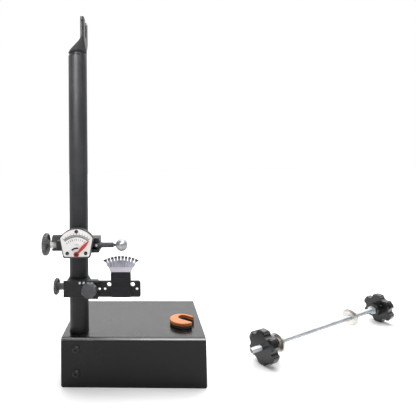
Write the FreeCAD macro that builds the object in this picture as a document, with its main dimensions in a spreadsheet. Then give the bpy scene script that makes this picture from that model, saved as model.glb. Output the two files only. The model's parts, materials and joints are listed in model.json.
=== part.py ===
import FreeCAD, Part
import math
import os
from types import SimpleNamespace
import Sketcher

# A bicycle wheel truing stand: a bent steel base, one round column with a forked top for the
# wheel's axle, a carriage with a comb for radial run-out, a carriage with a dial gauge for side
# run-out, a slotted spacer and a through-axle adapter beside it.
#
# Frame: X to the right along the wheel's axle, Y to the back, Z up. The origin is on the bench,
# under the middle of the base. "Deck" is the top of the base, and what is on the column is
# placed from the column's axis at deck height, with "ahead" meaning towards -Y.

Vector = FreeCAD.Vector
Rotation = FreeCAD.Rotation
Placement = FreeCAD.Placement

X_WAY = Vector(1, 0, 0)
Y_WAY = Vector(0, 1, 0)
Z_WAY = Vector(0, 0, 1)
FULL_TURN = 360
TINY = 1e-7

# Driving dimensions, in millimetres, and angles in degrees where the name says so
SIZES = (
    # Base, bent from one sheet
    ("base_width", 196),
    ("base_depth", 145),
    ("base_height", 65),
    ("base_gauge", 4),
    ("base_bend", 5),
    ("base_corner", 3),
    ("column_inset", 20.4),
    ("column_setback", 27.4),
    # Column and its pressed, forked top, in heights above the deck
    ("column_radius", 13.45),
    ("column_wall", 2.6),
    ("column_foot", 6),
    ("press_start", 399.5),
    ("press_height", 19),
    ("fork_top", 447.5),
    ("fork_width", 39),
    ("fork_face", 12.4),
    ("axle_height", 427),
    ("axle_slot_radius", 5.2),
    # Clearances
    ("free_gap", 0.3),
    ("running_gap", 0.05),
    ("slide_gap", 0.2),
    ("overrun", 5),
    # Bolts through the base and the column
    ("bolt_low", 18.5),
    ("bolt_high", 50.5),
    ("bolt_radius", 3),
    ("bolt_length", 50),
    ("button_radius", 5.25),
    ("button_height", 3.3),
    ("bolt_socket", 4),
    ("socket_depth", 2),
    ("washer_radius", 6),
    ("washer_thickness", 1.6),
    ("nut_width", 10),
    ("nut_height", 5),
    ("saddle_width", 20),
    ("saddle_bottom", 9),
    ("saddle_height", 51),
    ("saddle_wrap", 5),
    # Radial carriage
    ("collar_radius", 17),
    ("collar_bottom", 50.5),
    ("collar_top", 75),
    ("collar_bevel", 3),
    ("collar_bevel_height", 4.6),
    ("guide_left", 17.6),
    ("guide_step", 13.8),
    ("guide_right", 30.3),
    ("guide_front", 24),
    ("guide_bottom", 53.2),
    ("guide_top", 75.4),
    ("web_left", 12.5),
    ("lock_front", 26),
    ("lock_bottom", 51.7),
    ("lock_top", 75.6),
    ("lock_wall", 1.7),
    ("lock_bevel", 1.5),
    ("edge_round", 1),
    ("bar_line", 19.2),
    ("bar_thickness", 4),
    ("bar_height", 21.5),
    ("bar_bottom", 52.9),
    ("bar_left", 12),
    ("bar_right", 88.7),
    ("bar_corner", 3),
    ("bar_hole_radius", 3),
    ("bar_hole_reach", 16.2),
    ("bar_hole_drop", 4.6),
    ("index_hole_radius", 1.8),
    ("index_hole_reach", 22),
    ("index_pitch", 7.5),
    ("guide_screw_radius", 1.8),
    ("guide_screw_height", 1.4),
    ("guide_screw_shank", 1.1),
    ("guide_screw_depth", 2),
    ("guide_screw_drop", 2.6),
    ("guide_screw_first", 5.3),
    ("guide_screw_pitch", 5.6),
    # Clamp screws and their knobs
    ("screw_radius", 3),
    ("tip_radius", 2.9),
    ("tip_length", 2.5),
    ("radial_clamp_height", 60.9),
    ("radial_boss_radius", 7),
    ("radial_boss_reach", 19.5),
    ("radial_knob_radius", 11.5),
    ("radial_knob_thickness", 5),
    ("radial_knob_start", 30),
    ("radial_neck_radius", 4.8),
    ("radial_neck_start", 20.5),
    ("lock_reach", 20.1),
    ("lock_height", 66.6),
    ("lock_knob_radius", 10.3),
    ("lock_knob_thickness", 9),
    ("lock_knob_start", 31),
    ("lock_neck_radius", 6),
    ("lock_neck_start", 27),
    ("knob_edge", 1.2),
    ("flute_radius", 1.6),
    ("flute_depth", 0.7),
    ("lobe_flute_radius", 5),
    ("lobe_flute_depth", 1.1),
    # Comb
    ("rim_offset", 49.3),
    ("comb_reach", 55.5),
    ("comb_top", 107.2),
    ("comb_span", 50.2),
    ("comb_waist", 14.2),
    ("comb_flare", 16.2),
    ("comb_flare_height", 90.2),
    ("comb_cheek", 19.7),
    ("comb_cheek_height", 94.4),
    ("comb_jaw", 20.5),
    ("comb_jaw_height", 97.5),
    ("comb_tab_bottom", 75),
    ("comb_thickness", 1.8),
    ("comb_step", 4.7),
    ("comb_step_bottom", 86.8),
    ("comb_step_height", 5.2),
    ("tooth_pitch_degrees", 5.2),
    ("tooth_slot_width", 1.6),
    ("tooth_slot_depth", 6),
    ("holder_width", 26.6),
    ("holder_bottom", 53.4),
    ("holder_top", 86.5),
    ("holder_thickness", 3),
    ("holder_corner", 1.5),
    ("rivet_radius", 1.5),
    ("rivet_head_radius", 2.6),
    ("rivet_head_height", 1.2),
    ("rivet_bite", 1.6),
    ("rivet_reach", 6.5),
    # Lateral carriage
    ("block_left", 26.5),
    ("block_right", 32.4),
    ("block_front", 24.5),
    ("seat_left", 16),
    ("seat_right", 18),
    ("seat_drop", 12.5),
    ("seat_rise", 12),
    ("housing_half", 6.5),
    ("prong_drop", 9.6),
    ("prong_rise", 10.1),
    ("block_collar_radius", 18),
    ("lateral_clamp_drop", 2.5),
    ("ear_radius", 11.6),
    ("ear_end", 37.3),
    ("ear_drop", 0.5),
    ("clamp_nut_start", 30.4),
    ("clamp_nut_length", 10.1),
    ("clamp_nut_width", 10),
    ("lateral_knob_radius", 16),
    ("lateral_knob_thickness", 5.8),
    ("lateral_knob_start", 44.8),
    ("lateral_neck_radius", 5.2),
    ("lateral_neck_start", 41),
    # Plunger
    ("rod_height", 123.5),
    ("rod_line", 19.8),
    ("rod_radius", 3.5),
    ("stem_radius", 2.5),
    ("stem_left", 9),
    ("shoulder_radius", 4.4),
    ("shoulder_start", 27),
    ("shoulder_taper_start", 30.4),
    ("shoulder_taper_end", 38),
    ("rod_end", 52.2),
    ("neck_radius", 1.7),
    ("ball_centre", 63.3),
    ("ball_radius", 8.5),
    ("ball_seat_depth", 3),
    ("mouth_start", 15.4),
    ("mouth_half", 5.3),
    ("bush_radius", 4.2),
    ("fork_collar_half", 4.2),
    ("fork_half_width", 3.6),
    ("fork_drop", 6.5),
    ("fork_slot_half", 1.4),
    ("fork_slot_top", 0.9),
    ("fork_reach", 29.8),
    ("spring_radius", 4),
    ("spring_wire", 0.8),
    ("spring_left", 24),
    ("spring_turns", 7),
    ("arm_screw_radius", 1.5),
    ("arm_screw_length", 2.2),
    ("arm_screw_sink", 0.3),
    ("arm_screw_socket", 1.5),
    ("arm_screw_line", 28.7),
    # Dial gauge, from the needle's pivot
    ("pivot_offset", 2.4),
    ("pivot_drop", 10.2),
    ("casing_depth", 6),
    ("face_thickness", 0.8),
    ("dome_rise", 33.7),
    ("shoulder_half", 22.1),
    ("shoulder_rise", 21.5),
    ("foot_half", 17.2),
    ("foot_drop", 3.2),
    ("casing_rim", 1.4),
    ("casing_sill", 2),
    ("foot_corner", 3),
    ("window_half", 9.7),
    ("window_low", 2.6),
    ("window_high", 14.8),
    ("window_back", 15.2),
    ("pin_arm", 8.2),
    ("pin_radius", 0.8),
    ("pin_length", 4.9),
    ("face_slot_half", 1.1),
    ("face_slot_degrees", 102),
    ("needle_swing_degrees", 43.7),
    ("needle_length", 25),
    ("needle_hub", 3.8),
    ("needle_root", 0.9),
    ("needle_half", 1.8),
    ("needle_widest", 13.5),
    ("needle_thickness", 0.8),
    ("needle_gap", 0.6),
    ("pivot_radius", 1.2),
    ("pivot_head", 2.6),
    ("pivot_head_height", 1.2),
    ("gauge_screw_radius", 1.5),
    ("gauge_screw_head", 2.5),
    ("gauge_screw_height", 1.2),
    ("gauge_screw_grip", 3),
    ("gauge_screw_high", 30.6),
    ("gauge_screw_low", 1.4),
    ("gauge_screw_reach", 12.6),
    # Slotted spacer on the deck
    ("spacer_inset", 27.5),
    ("spacer_setback", 46.5),
    ("spacer_radius", 18),
    ("spacer_slot", 8),
    ("spacer_slot_offset", 5.9),
    ("spacer_slot_back", 1.4),
    ("spacer_turn_degrees", 38),
    ("spacer_plate_thickness", 4.5),
    ("spacer_pad_thickness", 3.5),
    ("spacer_edge", 0.5),
    # Through-axle adapter, lying on its star knobs
    ("adapter_x", 170.3),
    ("adapter_y", -22.3),
    ("adapter_turn_degrees", 30.5),
    ("adapter_rod_radius", 4),
    ("adapter_rod_length", 335),
    ("adapter_rod_bevel", 1),
    ("star_radius", 25),
    ("star_thickness", 14.5),
    ("star_flute_radius", 6.2),
    ("star_flute_depth", 5.6),
    ("star_edge", 1.8),
    ("star_ridge", 2.2),
    ("star_hub_radius", 10.8),
    ("star_hub_length", 15.5),
    ("near_knob_start", 19),
    ("far_knob_start", 310),
    ("far_nut_width", 13),
    ("far_nut_height", 6.5),
    ("far_nut_proud", 1.5),
    ("cone_radius", 14),
    ("cone_rim", 2.8),
    ("cone_nose_radius", 10),
    ("cone_nose", 1.7),
    ("cone_hub_radius", 7.2),
    ("cone_hub_length", 4.5),
    ("cone_bevel", 0.8),
    ("cone_gap", 0.1),
    ("far_cone_gap", 61.5),
)
LOBES = 6
LOBE_MARGIN = 1
FLUTES = 24
LOCK_LOBES = 8
TOOTH_SLOTS = 9
QUARTERS = 4
# Parts of a button head's radius and height, and of a clamp screw's radius at its point
CROWN_SHARE = 0.5
RIM_SHARE = 0.3
BULGE_SHARE = 0.8
POINT_SHARE = 0.25

doc = FreeCAD.newDocument("truing_stand")
sheet = doc.addObject("Spreadsheet::Sheet", "sizes")
for row, (alias, number) in enumerate(SIZES, start=1):
    sheet.set(f"A{row}", alias)
    sheet.set(f"B{row}", str(number))
    sheet.setAlias(f"B{row}", alias)
doc.recompute()


class Size:
    """A number together with the sheet formula that gives it."""

    def __init__(self, value, formula):
        self.value = float(value)
        self.formula = formula

    def joined(self, sign, other, value):
        return Size(value, f"({self.formula} {sign} {as_size(other).formula})")

    def __add__(self, other):
        return self.joined("+", other, self.value + as_size(other).value)

    def __sub__(self, other):
        return self.joined("-", other, self.value - as_size(other).value)

    def __mul__(self, other):
        return self.joined("*", other, self.value * as_size(other).value)

    def __truediv__(self, other):
        return self.joined("/", other, self.value / as_size(other).value)

    def __neg__(self):
        return Size(-self.value, f"(0 - {self.formula})")


def as_size(number):
    if isinstance(number, Size):
        return number
    return Size(number, f"({number:.9f})")


def sine(degrees):
    return Size(math.sin(math.radians(degrees.value)), f"sin({degrees.formula} * 1 deg)")


def cosine(degrees):
    return Size(math.cos(math.radians(degrees.value)), f"cos({degrees.formula} * 1 deg)")


def root(square):
    return Size(math.sqrt(square.value), f"sqrt({square.formula})")


dim = SimpleNamespace(**{alias: Size(sheet.get(alias), f"sizes.{alias}") for alias, number in SIZES})
zero = as_size(0)
nodes = []


def bind(thing, field, size):
    """Tie one property of a feature to the sheet."""
    thing.setExpression(field, as_size(size).formula)


def place(thing, x, y, z, turn=Rotation()):
    """Put a piece at a bound place, turned by a fixed rotation."""
    thing.Placement = Placement(Vector(0, 0, 0), turn)
    for field, size in (("x", x), ("y", y), ("z", z)):
        bind(thing, "Placement.Base." + field, size)


def turned_to(way):
    return Rotation(Z_WAY, way)


def new_body(name):
    body = doc.addObject("PartDesign::Body", name)
    return body


def keep(piece):
    """Count a finished piece as a node of the stand."""
    nodes.append(piece)
    return piece


def new_sketch(body, plane, offset=None):
    """A sketch on one of the body's own origin planes, lifted by an offset."""
    sketch = body.newObject("Sketcher::SketchObject", body.Name + "_sketch")
    support = next(item for item in body.Origin.OriginFeatures if item.Role == plane)
    sketch.AttachmentSupport = (support, [""])
    sketch.MapMode = "FlatFace"
    if offset is not None:
        bind(sketch, "AttachmentOffset.Base.z", offset)
    return sketch


def pin_down(sketch, geometry, end, x, y):
    """Fix one point of a sketch by its distances from the origin."""
    for kind, axis, size in (("DistanceX", -2, x), ("DistanceY", -1, y)):
        if abs(size.value) < TINY:
            sketch.addConstraint(Sketcher.Constraint("PointOnObject", geometry, end, axis))
        else:
            held = sketch.addConstraint(Sketcher.Constraint(kind, -1, 1, geometry, end, size.value))
            bind(sketch, f"Constraints[{held}]", size)


def bowed(start, end, radius):
    """An arc between two points; a positive radius has its centre to the left of the way."""
    chord = end - start
    half = chord.Length / 2
    left = Vector(-chord.y, chord.x, 0).normalize()
    rise = math.sqrt(max(radius * radius - half * half, 0))
    centre = (start + end) * 0.5 + left * math.copysign(rise, radius)
    first, last = (start, end) if radius > 0 else (end, start)
    from_angle = math.atan2(first.y - centre.y, first.x - centre.x)
    to_angle = math.atan2(last.y - centre.y, last.x - centre.x)
    if to_angle < from_angle:
        to_angle += math.tau
    return Part.ArcOfCircle(Part.Circle(centre, Z_WAY, abs(radius)), from_angle, to_angle)


def outline(sketch, points):
    """A closed outline through points (x, y), or (x, y, radius) where the next side is an arc."""
    points = [tuple(as_size(part) for part in point) for point in points]
    spots = [Vector(point[0].value, point[1].value, 0) for point in points]
    ends = []
    for place_in_row, point in enumerate(points):
        start = spots[place_in_row]
        end = spots[(place_in_row + 1) % len(spots)]
        if len(point) == 2:
            ends.append((sketch.addGeometry(Part.LineSegment(start, end)), 1, 2))
        elif point[2].value > 0:
            ends.append((sketch.addGeometry(bowed(start, end, point[2].value)), 1, 2))
        else:
            ends.append((sketch.addGeometry(bowed(start, end, point[2].value)), 2, 1))
    for place_in_row, (geometry, start_end, last_end) in enumerate(ends):
        following, following_start, following_last = ends[(place_in_row + 1) % len(ends)]
        sketch.addConstraint(
            Sketcher.Constraint("Coincident", geometry, last_end, following, following_start)
        )
    for (geometry, start_end, last_end), point in zip(ends, points):
        pin_down(sketch, geometry, start_end, point[0], point[1])
        if len(point) == 3:
            bow = point[2] if point[2].value > 0 else -point[2]
            held = sketch.addConstraint(Sketcher.Constraint("Radius", geometry, bow.value))
            bind(sketch, f"Constraints[{held}]", bow)


def circle(sketch, x, y, radius):
    x, y, radius = as_size(x), as_size(y), as_size(radius)
    ring = sketch.addGeometry(Part.Circle(Vector(x.value, y.value, 0), Z_WAY, radius.value))
    held = sketch.addConstraint(Sketcher.Constraint("Radius", ring, radius.value))
    bind(sketch, f"Constraints[{held}]", radius)
    pin_down(sketch, ring, 3, x, y)


def rectangle(sketch, left, bottom, right, top):
    outline(sketch, [(left, bottom), (right, bottom), (right, top), (left, top)])


def hexagon(sketch, width):
    """A hexagon about the sketch's origin, by its width across flats."""
    corner = width / 2 / math.cos(math.pi / 6)
    angles = [math.tau * step / 6 for step in range(6)]
    outline(sketch, [(corner * math.cos(angle), corner * math.sin(angle)) for angle in angles])


def feature(body, kind, sketch, length, reverse=False, both_ways=False):
    """A pad or pocket; a pocket that removes nothing is refused."""
    before = body.Shape.Volume if kind == "PartDesign::Pocket" else 0
    made = body.newObject(kind, body.Name + "_" + kind.split("::")[1].lower())
    made.Profile = sketch
    bind(made, "Length", length)
    made.Reversed = reverse
    made.Midplane = both_ways
    doc.recompute()
    if kind == "PartDesign::Pocket" and body.Shape.Volume > before * (1 - TINY):
        raise RuntimeError(f"{made.Name} removes nothing from {body.Name}")
    return made


def pad(body, sketch, length, **ways):
    return feature(body, "PartDesign::Pad", sketch, length, **ways)


def pocket(body, sketch, length, **ways):
    return feature(body, "PartDesign::Pocket", sketch, length, **ways)


def drill(body, plane, x, y, radius, length, offset=None, **ways):
    """A round hole, cut as a pocket from one circle."""
    sketch = new_sketch(body, plane, offset)
    circle(sketch, x, y, radius)
    return pocket(body, sketch, length, **ways)


def spun(body, points):
    """Turn a profile of (out from the axis, along the axis) points about the body's Z axis."""
    sketch = new_sketch(body, "XZ_Plane")
    outline(sketch, points)
    made = body.newObject("PartDesign::Revolution", body.Name + "_turning")
    made.Profile = sketch
    made.ReferenceAxis = (sketch, ["V_Axis"])
    made.Angle = FULL_TURN
    doc.recompute()
    return made


def turned(name, points, x, y, z, way):
    """A turned piece whose axis starts at a place and points one way."""
    body = new_body(name)
    spun(body, points)
    place(body, x, y, z, turned_to(way))
    return body


def patterned(body, made, count, angle=FULL_TURN, axis_role="Z_Axis"):
    """Repeat a feature about one of the body's own axes."""
    pattern = body.newObject("PartDesign::PolarPattern", body.Name + "_pattern")
    pattern.Originals = [made]
    axis = next(item for item in body.Origin.OriginFeatures if item.Role == axis_role)
    pattern.Axis = (axis, [""])
    if isinstance(angle, Size):
        bind(pattern, "Angle", angle)
    else:
        pattern.Angle = angle
    pattern.Occurrences = count
    body.Tip = pattern
    doc.recompute()
    return pattern


def edges_that(shape, test):
    return [f"Edge{number}" for number, edge in enumerate(shape.Edges, start=1) if test(edge)]


def runs_along(edge, way):
    if not isinstance(edge.Curve, Part.Line):
        return False
    return abs(abs(edge.Curve.Direction.dot(way)) - 1) < TINY


def middle(edge):
    return edge.valueAt((edge.FirstParameter + edge.LastParameter) / 2)


def near(number, size):
    return abs(number - as_size(size).value) < 1e-4


def eased(body, kind, base, edges, size):
    """A fillet or chamfer on chosen edges of a body's last feature."""
    if not edges:
        raise RuntimeError(f"no edge found to ease on {body.Name}")
    made = body.newObject("PartDesign::" + kind, body.Name + "_" + kind.lower())
    made.Base = (base, edges)
    bind(made, "Radius" if kind == "Fillet" else "Size", size)
    doc.recompute()
    return made


def box(name, x, y, z, length, width, height):
    """A plain block by its lowest corner and its three sides."""
    made = doc.addObject("Part::Box", name)
    bind(made, "Length", length)
    bind(made, "Width", width)
    bind(made, "Height", height)
    place(made, x, y, z)
    return made


def cylinder(name, x, y, z, radius, height, way=Z_WAY):
    made = doc.addObject("Part::Cylinder", name)
    bind(made, "Radius", radius)
    bind(made, "Height", height)
    place(made, x, y, z, turned_to(way))
    return made


def combined(kind, name, first, *others):
    """Chain a boolean over several shapes; the last one carries the name."""
    made = first
    for number, other in enumerate(others, start=1):
        title = name if number == len(others) else f"{name}_{kind.lower()}_{number}"
        step = doc.addObject("Part::" + kind, title)
        step.Base = made
        step.Tool = other
        step.Refine = True
        made = step
    return made


def fused(name, first, *others):
    return combined("Fuse", name, first, *others)


def cut(name, first, *others):
    return combined("Cut", name, first, *others)


def grouped(name, *pieces):
    """Identical fasteners, each a separate solid, in one node."""
    group = doc.addObject("Part::Compound", name)
    group.Links = list(pieces)
    return group


# Places that several pieces share
deck = dim.base_height
front = -dim.base_depth / 2
back = dim.base_depth / 2
left_end = -dim.base_width / 2
right_end = dim.base_width / 2
column_x = left_end + dim.column_inset
column_y = front + dim.column_setback
carriage_bore = dim.column_radius + dim.running_gap
thread_bore = dim.screw_radius + dim.running_gap
comb_x = dim.fork_face + dim.rim_offset
bar_front = dim.bar_line + dim.bar_thickness / 2
bar_back = dim.bar_line - dim.bar_thickness / 2
bar_top = dim.bar_bottom + dim.bar_height
bar_middle = dim.bar_bottom + dim.bar_height / 2
half_stroke = dim.pin_arm * sine(dim.needle_swing_degrees)
pin_drop = dim.pin_arm * cosine(dim.needle_swing_degrees)
fork_x = dim.pivot_offset + half_stroke
pivot_height = dim.rod_height - dim.pivot_drop
lateral_clamp_height = dim.rod_height - dim.lateral_clamp_drop
seat_bottom = dim.rod_height - dim.seat_drop
seat_top = dim.rod_height + dim.seat_rise
face_back = dim.block_front + dim.casing_depth
face_front = face_back + dim.face_thickness


def on_column(piece):
    """Measure a piece from the column's axis at deck height."""
    place(piece, column_x, column_y, deck)
    return piece


def from_column(x, ahead, height):
    """A bench place for a spot given from the column's axis and the deck."""
    return column_x + x, column_y - ahead, deck + height


# Base: front, top and back are one bent sheet, open below and at both ends
def make_base_shell():
    body = new_body("base_shell")
    gauge = dim.base_gauge
    profile = new_sketch(body, "YZ_Plane")
    outline(profile, [
        (front, zero), (front + gauge, zero), (front + gauge, deck - gauge),
        (back - gauge, deck - gauge), (back - gauge, zero), (back, zero), (back, deck), (front, deck),
    ])
    bent = pad(body, profile, dim.base_width, both_ways=True)
    outer = edges_that(bent.Shape, lambda edge: runs_along(edge, X_WAY) and near(middle(edge).z, deck))
    bent = eased(body, "Fillet", bent, outer, dim.base_bend)
    inner = edges_that(
        bent.Shape, lambda edge: runs_along(edge, X_WAY) and near(middle(edge).z, deck - gauge)
    )
    bent = eased(body, "Fillet", bent, inner, dim.base_bend - gauge)
    feet = edges_that(bent.Shape, lambda edge: runs_along(edge, Y_WAY) and near(middle(edge).z, 0))
    eased(body, "Fillet", bent, feet, dim.base_corner)
    drill(
        body, "XY_Plane", column_x, column_y, dim.column_radius + dim.slide_gap,
        deck + dim.overrun, reverse=True,
    )
    for height in (dim.bolt_low, dim.bolt_high):
        drill(
            body, "XZ_Plane", column_x, height, dim.bolt_radius + dim.slide_gap,
            dim.base_depth / 2 + dim.overrun, reverse=True,
        )
    return keep(body)


# Column: a round tube whose top is pressed flat to its right side and slotted for the axle
PRESS_STATIONS = (0, 0.06, 0.25, 0.45, 0.65, 0.85, 0.96, 1)
INNER_STATIONS = 6
ARC_STEPS = 6
FLAT_STEPS = 12
EIGHTH_TURN = math.pi / 4


def bent_side(spot, side, way):
    """One broad side of the pressed tube, with half of each rounded edge beside it."""
    if side < TINY:
        return Part.Arc(spot(-EIGHTH_TURN, 0, way), spot(0, 0, way), spot(EIGHTH_TURN, 0, way)).toShape()
    points = [spot(-EIGHTH_TURN * (1 - step / ARC_STEPS), -side, way) for step in range(ARC_STEPS)]
    points += [spot(0, side * (2 * step / FLAT_STEPS - 1), way) for step in range(FLAT_STEPS + 1)]
    points += [spot(EIGHTH_TURN * step / ARC_STEPS, side, way) for step in range(1, ARC_STEPS + 1)]
    curve = Part.BSplineCurve()
    curve.interpolate(points)
    return curve.toShape()


def pressed_wire(share, inset):
    """The tube's outline, round at share 0 and flat at share 1, drawn inside its skin."""
    squash = share * share * (3 - 2 * share)
    radius = dim.column_radius.value
    half_thick = radius + (dim.column_wall.value - radius) * squash
    reach = radius + (dim.fork_width.value / 2 - radius) * squash
    middle_x = radius + (dim.fork_face.value - radius) * squash - half_thick
    side = reach - half_thick
    height = dim.press_start.value + dim.press_height.value * share
    thick = half_thick - inset

    def spot(angle, along, way):
        across = middle_x + way * thick * math.cos(angle)
        return Vector(across, way * (along + thick * math.sin(angle)), height)

    lean = thick * math.sqrt(0.5)
    edges = []
    for way in (1, -1):
        edges.append(bent_side(spot, side, way))
        first = Vector(middle_x + way * lean, way * (side + lean), height)
        crest = Vector(middle_x, way * (side + thick), height)
        last = Vector(middle_x - way * lean, way * (side + lean), height)
        edges.append(Part.Arc(first, crest, last).toShape())
    return Part.Wire(edges)


def lofted(name, stations, inset, rise=0):
    """A solid through the tube's outlines, drawn on by a straight piece where a rise is given."""
    wires = [pressed_wire(share, inset) for share in stations]
    shape = Part.makeLoft(wires, True, False)
    if rise:
        shape = shape.fuse(Part.Face(wires[-1]).extrude(Vector(0, 0, rise)))
    made = doc.addObject("Part::Feature", name)
    made.Shape = shape
    return on_column(made)


def make_column_tube():
    foot = dim.column_foot - deck
    tube = cylinder(
        "column_round", *from_column(zero, zero, foot), dim.column_radius, dim.press_start - foot
    )
    flat_rise = (dim.fork_top - dim.press_start - dim.press_height).value
    pressed = lofted("column_pressed", PRESS_STATIONS, 0, flat_rise)
    bore = cylinder(
        "column_bore", *from_column(zero, zero, foot), dim.column_radius - dim.column_wall,
        dim.press_start - foot,
    )
    inside = lofted("column_inside", PRESS_STATIONS[:INNER_STATIONS], dim.column_wall.value)
    through = dim.column_radius + dim.overrun
    slot_end = cylinder(
        "axle_slot_end", *from_column(zero, zero, dim.axle_height), dim.axle_slot_radius,
        through, X_WAY,
    )
    slot = box(
        "axle_slot_sides", *from_column(zero, dim.axle_slot_radius, dim.axle_height),
        through, dim.axle_slot_radius * 2, dim.fork_top - dim.axle_height + dim.overrun,
    )
    bolts = [
        cylinder(
            f"column_bolt_hole_{number}", column_x, column_y - through, height,
            dim.bolt_radius + dim.slide_gap, through * 2, Y_WAY,
        )
        for number, height in enumerate((dim.bolt_low, dim.bolt_high), start=1)
    ]
    whole = fused("column_whole", tube, pressed)
    return keep(cut("column_tube", whole, bore, inside, slot_end, slot, *bolts))


def make_column_saddle():
    body = new_body("column_saddle")
    plan = new_sketch(body, "XY_Plane", dim.saddle_bottom)
    half = dim.saddle_width / 2
    rear = column_y - dim.column_radius + dim.saddle_wrap
    rectangle(plan, column_x - half, front + dim.base_gauge, column_x + half, rear)
    block = pad(body, plan, dim.saddle_height)
    drill(
        body, "XY_Plane", column_x, column_y, dim.column_radius + dim.running_gap,
        dim.saddle_bottom + dim.saddle_height + dim.overrun, reverse=True,
    )
    for height in (dim.bolt_low, dim.bolt_high):
        drill(
            body, "XZ_Plane", column_x, height, dim.bolt_radius + dim.slide_gap,
            dim.base_depth / 2, reverse=True,
        )
    return keep(body)


def button_profile(radius, height, shank, length):
    """Half of a button-headed screw: the head below zero, the shank above it."""
    crown = radius * CROWN_SHARE
    rim = height * RIM_SHARE
    bulge = radius * BULGE_SHARE
    return [
        (zero, -height), (crown, -height, bulge), (radius, -rim), (radius, zero),
        (shank, zero), (shank, length), (zero, length),
    ]


def button_screw(name, radius, height, shank, length, socket, depth, x, y, z, way):
    """A button-headed screw with a hexagon socket, its head's underside at the given place."""
    body = new_body(name)
    spun(body, button_profile(radius, height, shank, length))
    key = new_sketch(body, "XY_Plane", -height)
    hexagon(key, socket)
    pocket(body, key, depth, reverse=True)
    place(body, x, y, z, turned_to(way))
    return body


def hex_nut(name, width, height, bore, x, y, z, turn):
    body = new_body(name)
    plan = new_sketch(body, "XY_Plane")
    hexagon(plan, width)
    circle(plan, zero, zero, bore)
    pad(body, plan, height)
    place(body, x, y, z, turn)
    return body


def ring(name, outer, inner, thickness, x, y, z, way):
    body = new_body(name)
    plan = new_sketch(body, "XY_Plane")
    circle(plan, zero, zero, outer)
    circle(plan, zero, zero, inner)
    pad(body, plan, thickness)
    place(body, x, y, z, turned_to(way))
    return body


def make_column_fasteners():
    heights = (dim.bolt_low, dim.bolt_high)
    tube_back = column_y + dim.column_radius
    bolts = [
        button_screw(
            f"column_bolt_{number}", dim.button_radius, dim.button_height, dim.bolt_radius,
            dim.bolt_length, dim.bolt_socket, dim.socket_depth, column_x, front, height, Y_WAY,
        )
        for number, height in enumerate(heights, start=1)
    ]
    washers = [
        ring(
            f"column_washer_{number}", dim.washer_radius, dim.bolt_radius + dim.slide_gap,
            dim.washer_thickness, column_x, tube_back, height, Y_WAY,
        )
        for number, height in enumerate(heights, start=1)
    ]
    nuts = [
        hex_nut(
            f"column_nut_{number}", dim.nut_width, dim.nut_height, thread_bore,
            column_x, tube_back + dim.washer_thickness, height, turned_to(Y_WAY),
        )
        for number, height in enumerate(heights, start=1)
    ]
    keep(grouped("column_bolts", *bolts))
    keep(grouped("column_washers", *washers))
    keep(grouped("column_nuts", *nuts))


# Radial carriage: a collar on the column with a channel in front for the comb's bar
def make_radial_block():
    body = new_body("radial_block")
    bore = carriage_bore - dim.overrun
    shoulder = dim.collar_top - dim.collar_bevel_height
    spun(body, [
        (bore, dim.collar_bottom), (dim.collar_radius, dim.collar_bottom),
        (dim.collar_radius, shoulder), (dim.collar_radius - dim.collar_bevel, dim.collar_top),
        (bore, dim.collar_top),
    ])
    web = new_sketch(body, "XY_Plane", dim.guide_bottom)
    rectangle(web, -dim.web_left, -dim.guide_front, dim.guide_step, zero)
    pad(body, web, dim.guide_top - dim.guide_bottom)
    wall = new_sketch(body, "XY_Plane", dim.guide_bottom)
    wall_back = -bar_front - dim.free_gap
    rectangle(wall, -dim.guide_left, -dim.guide_front, dim.guide_step, wall_back)
    left = pad(body, wall, dim.guide_top - dim.guide_bottom)
    corners = edges_that(
        left.Shape, lambda edge: runs_along(edge, Z_WAY) and near(middle(edge).x, -dim.guide_left)
    )
    left = eased(body, "Fillet", left, corners, dim.edge_round)
    lock = new_sketch(body, "XY_Plane", dim.lock_bottom)
    rectangle(lock, dim.guide_step, -dim.lock_front, dim.guide_right, -bar_back + dim.lock_wall)
    right = pad(body, lock, dim.lock_top - dim.lock_bottom)
    brow = edges_that(
        right.Shape,
        lambda edge: runs_along(edge, X_WAY) and near(middle(edge).y, -dim.lock_front)
        and near(middle(edge).z, dim.lock_top),
    )
    right = eased(body, "Chamfer", right, brow, dim.lock_bevel)
    corners = edges_that(
        right.Shape, lambda edge: runs_along(edge, Z_WAY) and near(middle(edge).x, dim.guide_right)
    )
    right = eased(body, "Fillet", right, corners, dim.edge_round)
    boss = new_sketch(body, "YZ_Plane", -dim.radial_boss_reach)
    circle(boss, zero, dim.radial_clamp_height, dim.radial_boss_radius)
    pad(body, boss, dim.radial_boss_reach)
    drill(body, "XY_Plane", zero, zero, carriage_bore, dim.lock_top + dim.overrun, reverse=True)
    channel = new_sketch(body, "YZ_Plane")
    rectangle(
        channel, -bar_front - dim.free_gap, dim.bar_bottom - dim.free_gap,
        -bar_back + dim.free_gap, bar_top + dim.free_gap,
    )
    pocket(body, channel, (dim.guide_right + dim.overrun) * 2, both_ways=True)
    drill(
        body, "YZ_Plane", zero, dim.radial_clamp_height, thread_bore,
        dim.radial_boss_reach + dim.overrun,
    )
    drill(
        body, "XZ_Plane", dim.lock_reach, dim.lock_height, thread_bore,
        dim.lock_front - dim.bar_line + dim.overrun, offset=dim.bar_line, reverse=True,
    )
    for step in (0, 1):
        drill(
            body, "XZ_Plane", dim.guide_screw_first + dim.guide_screw_pitch * step,
            dim.guide_top - dim.guide_screw_drop, dim.guide_screw_shank + dim.running_gap,
            dim.guide_screw_depth + dim.running_gap, offset=dim.guide_front,
        )
    return keep(on_column(body))


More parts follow.
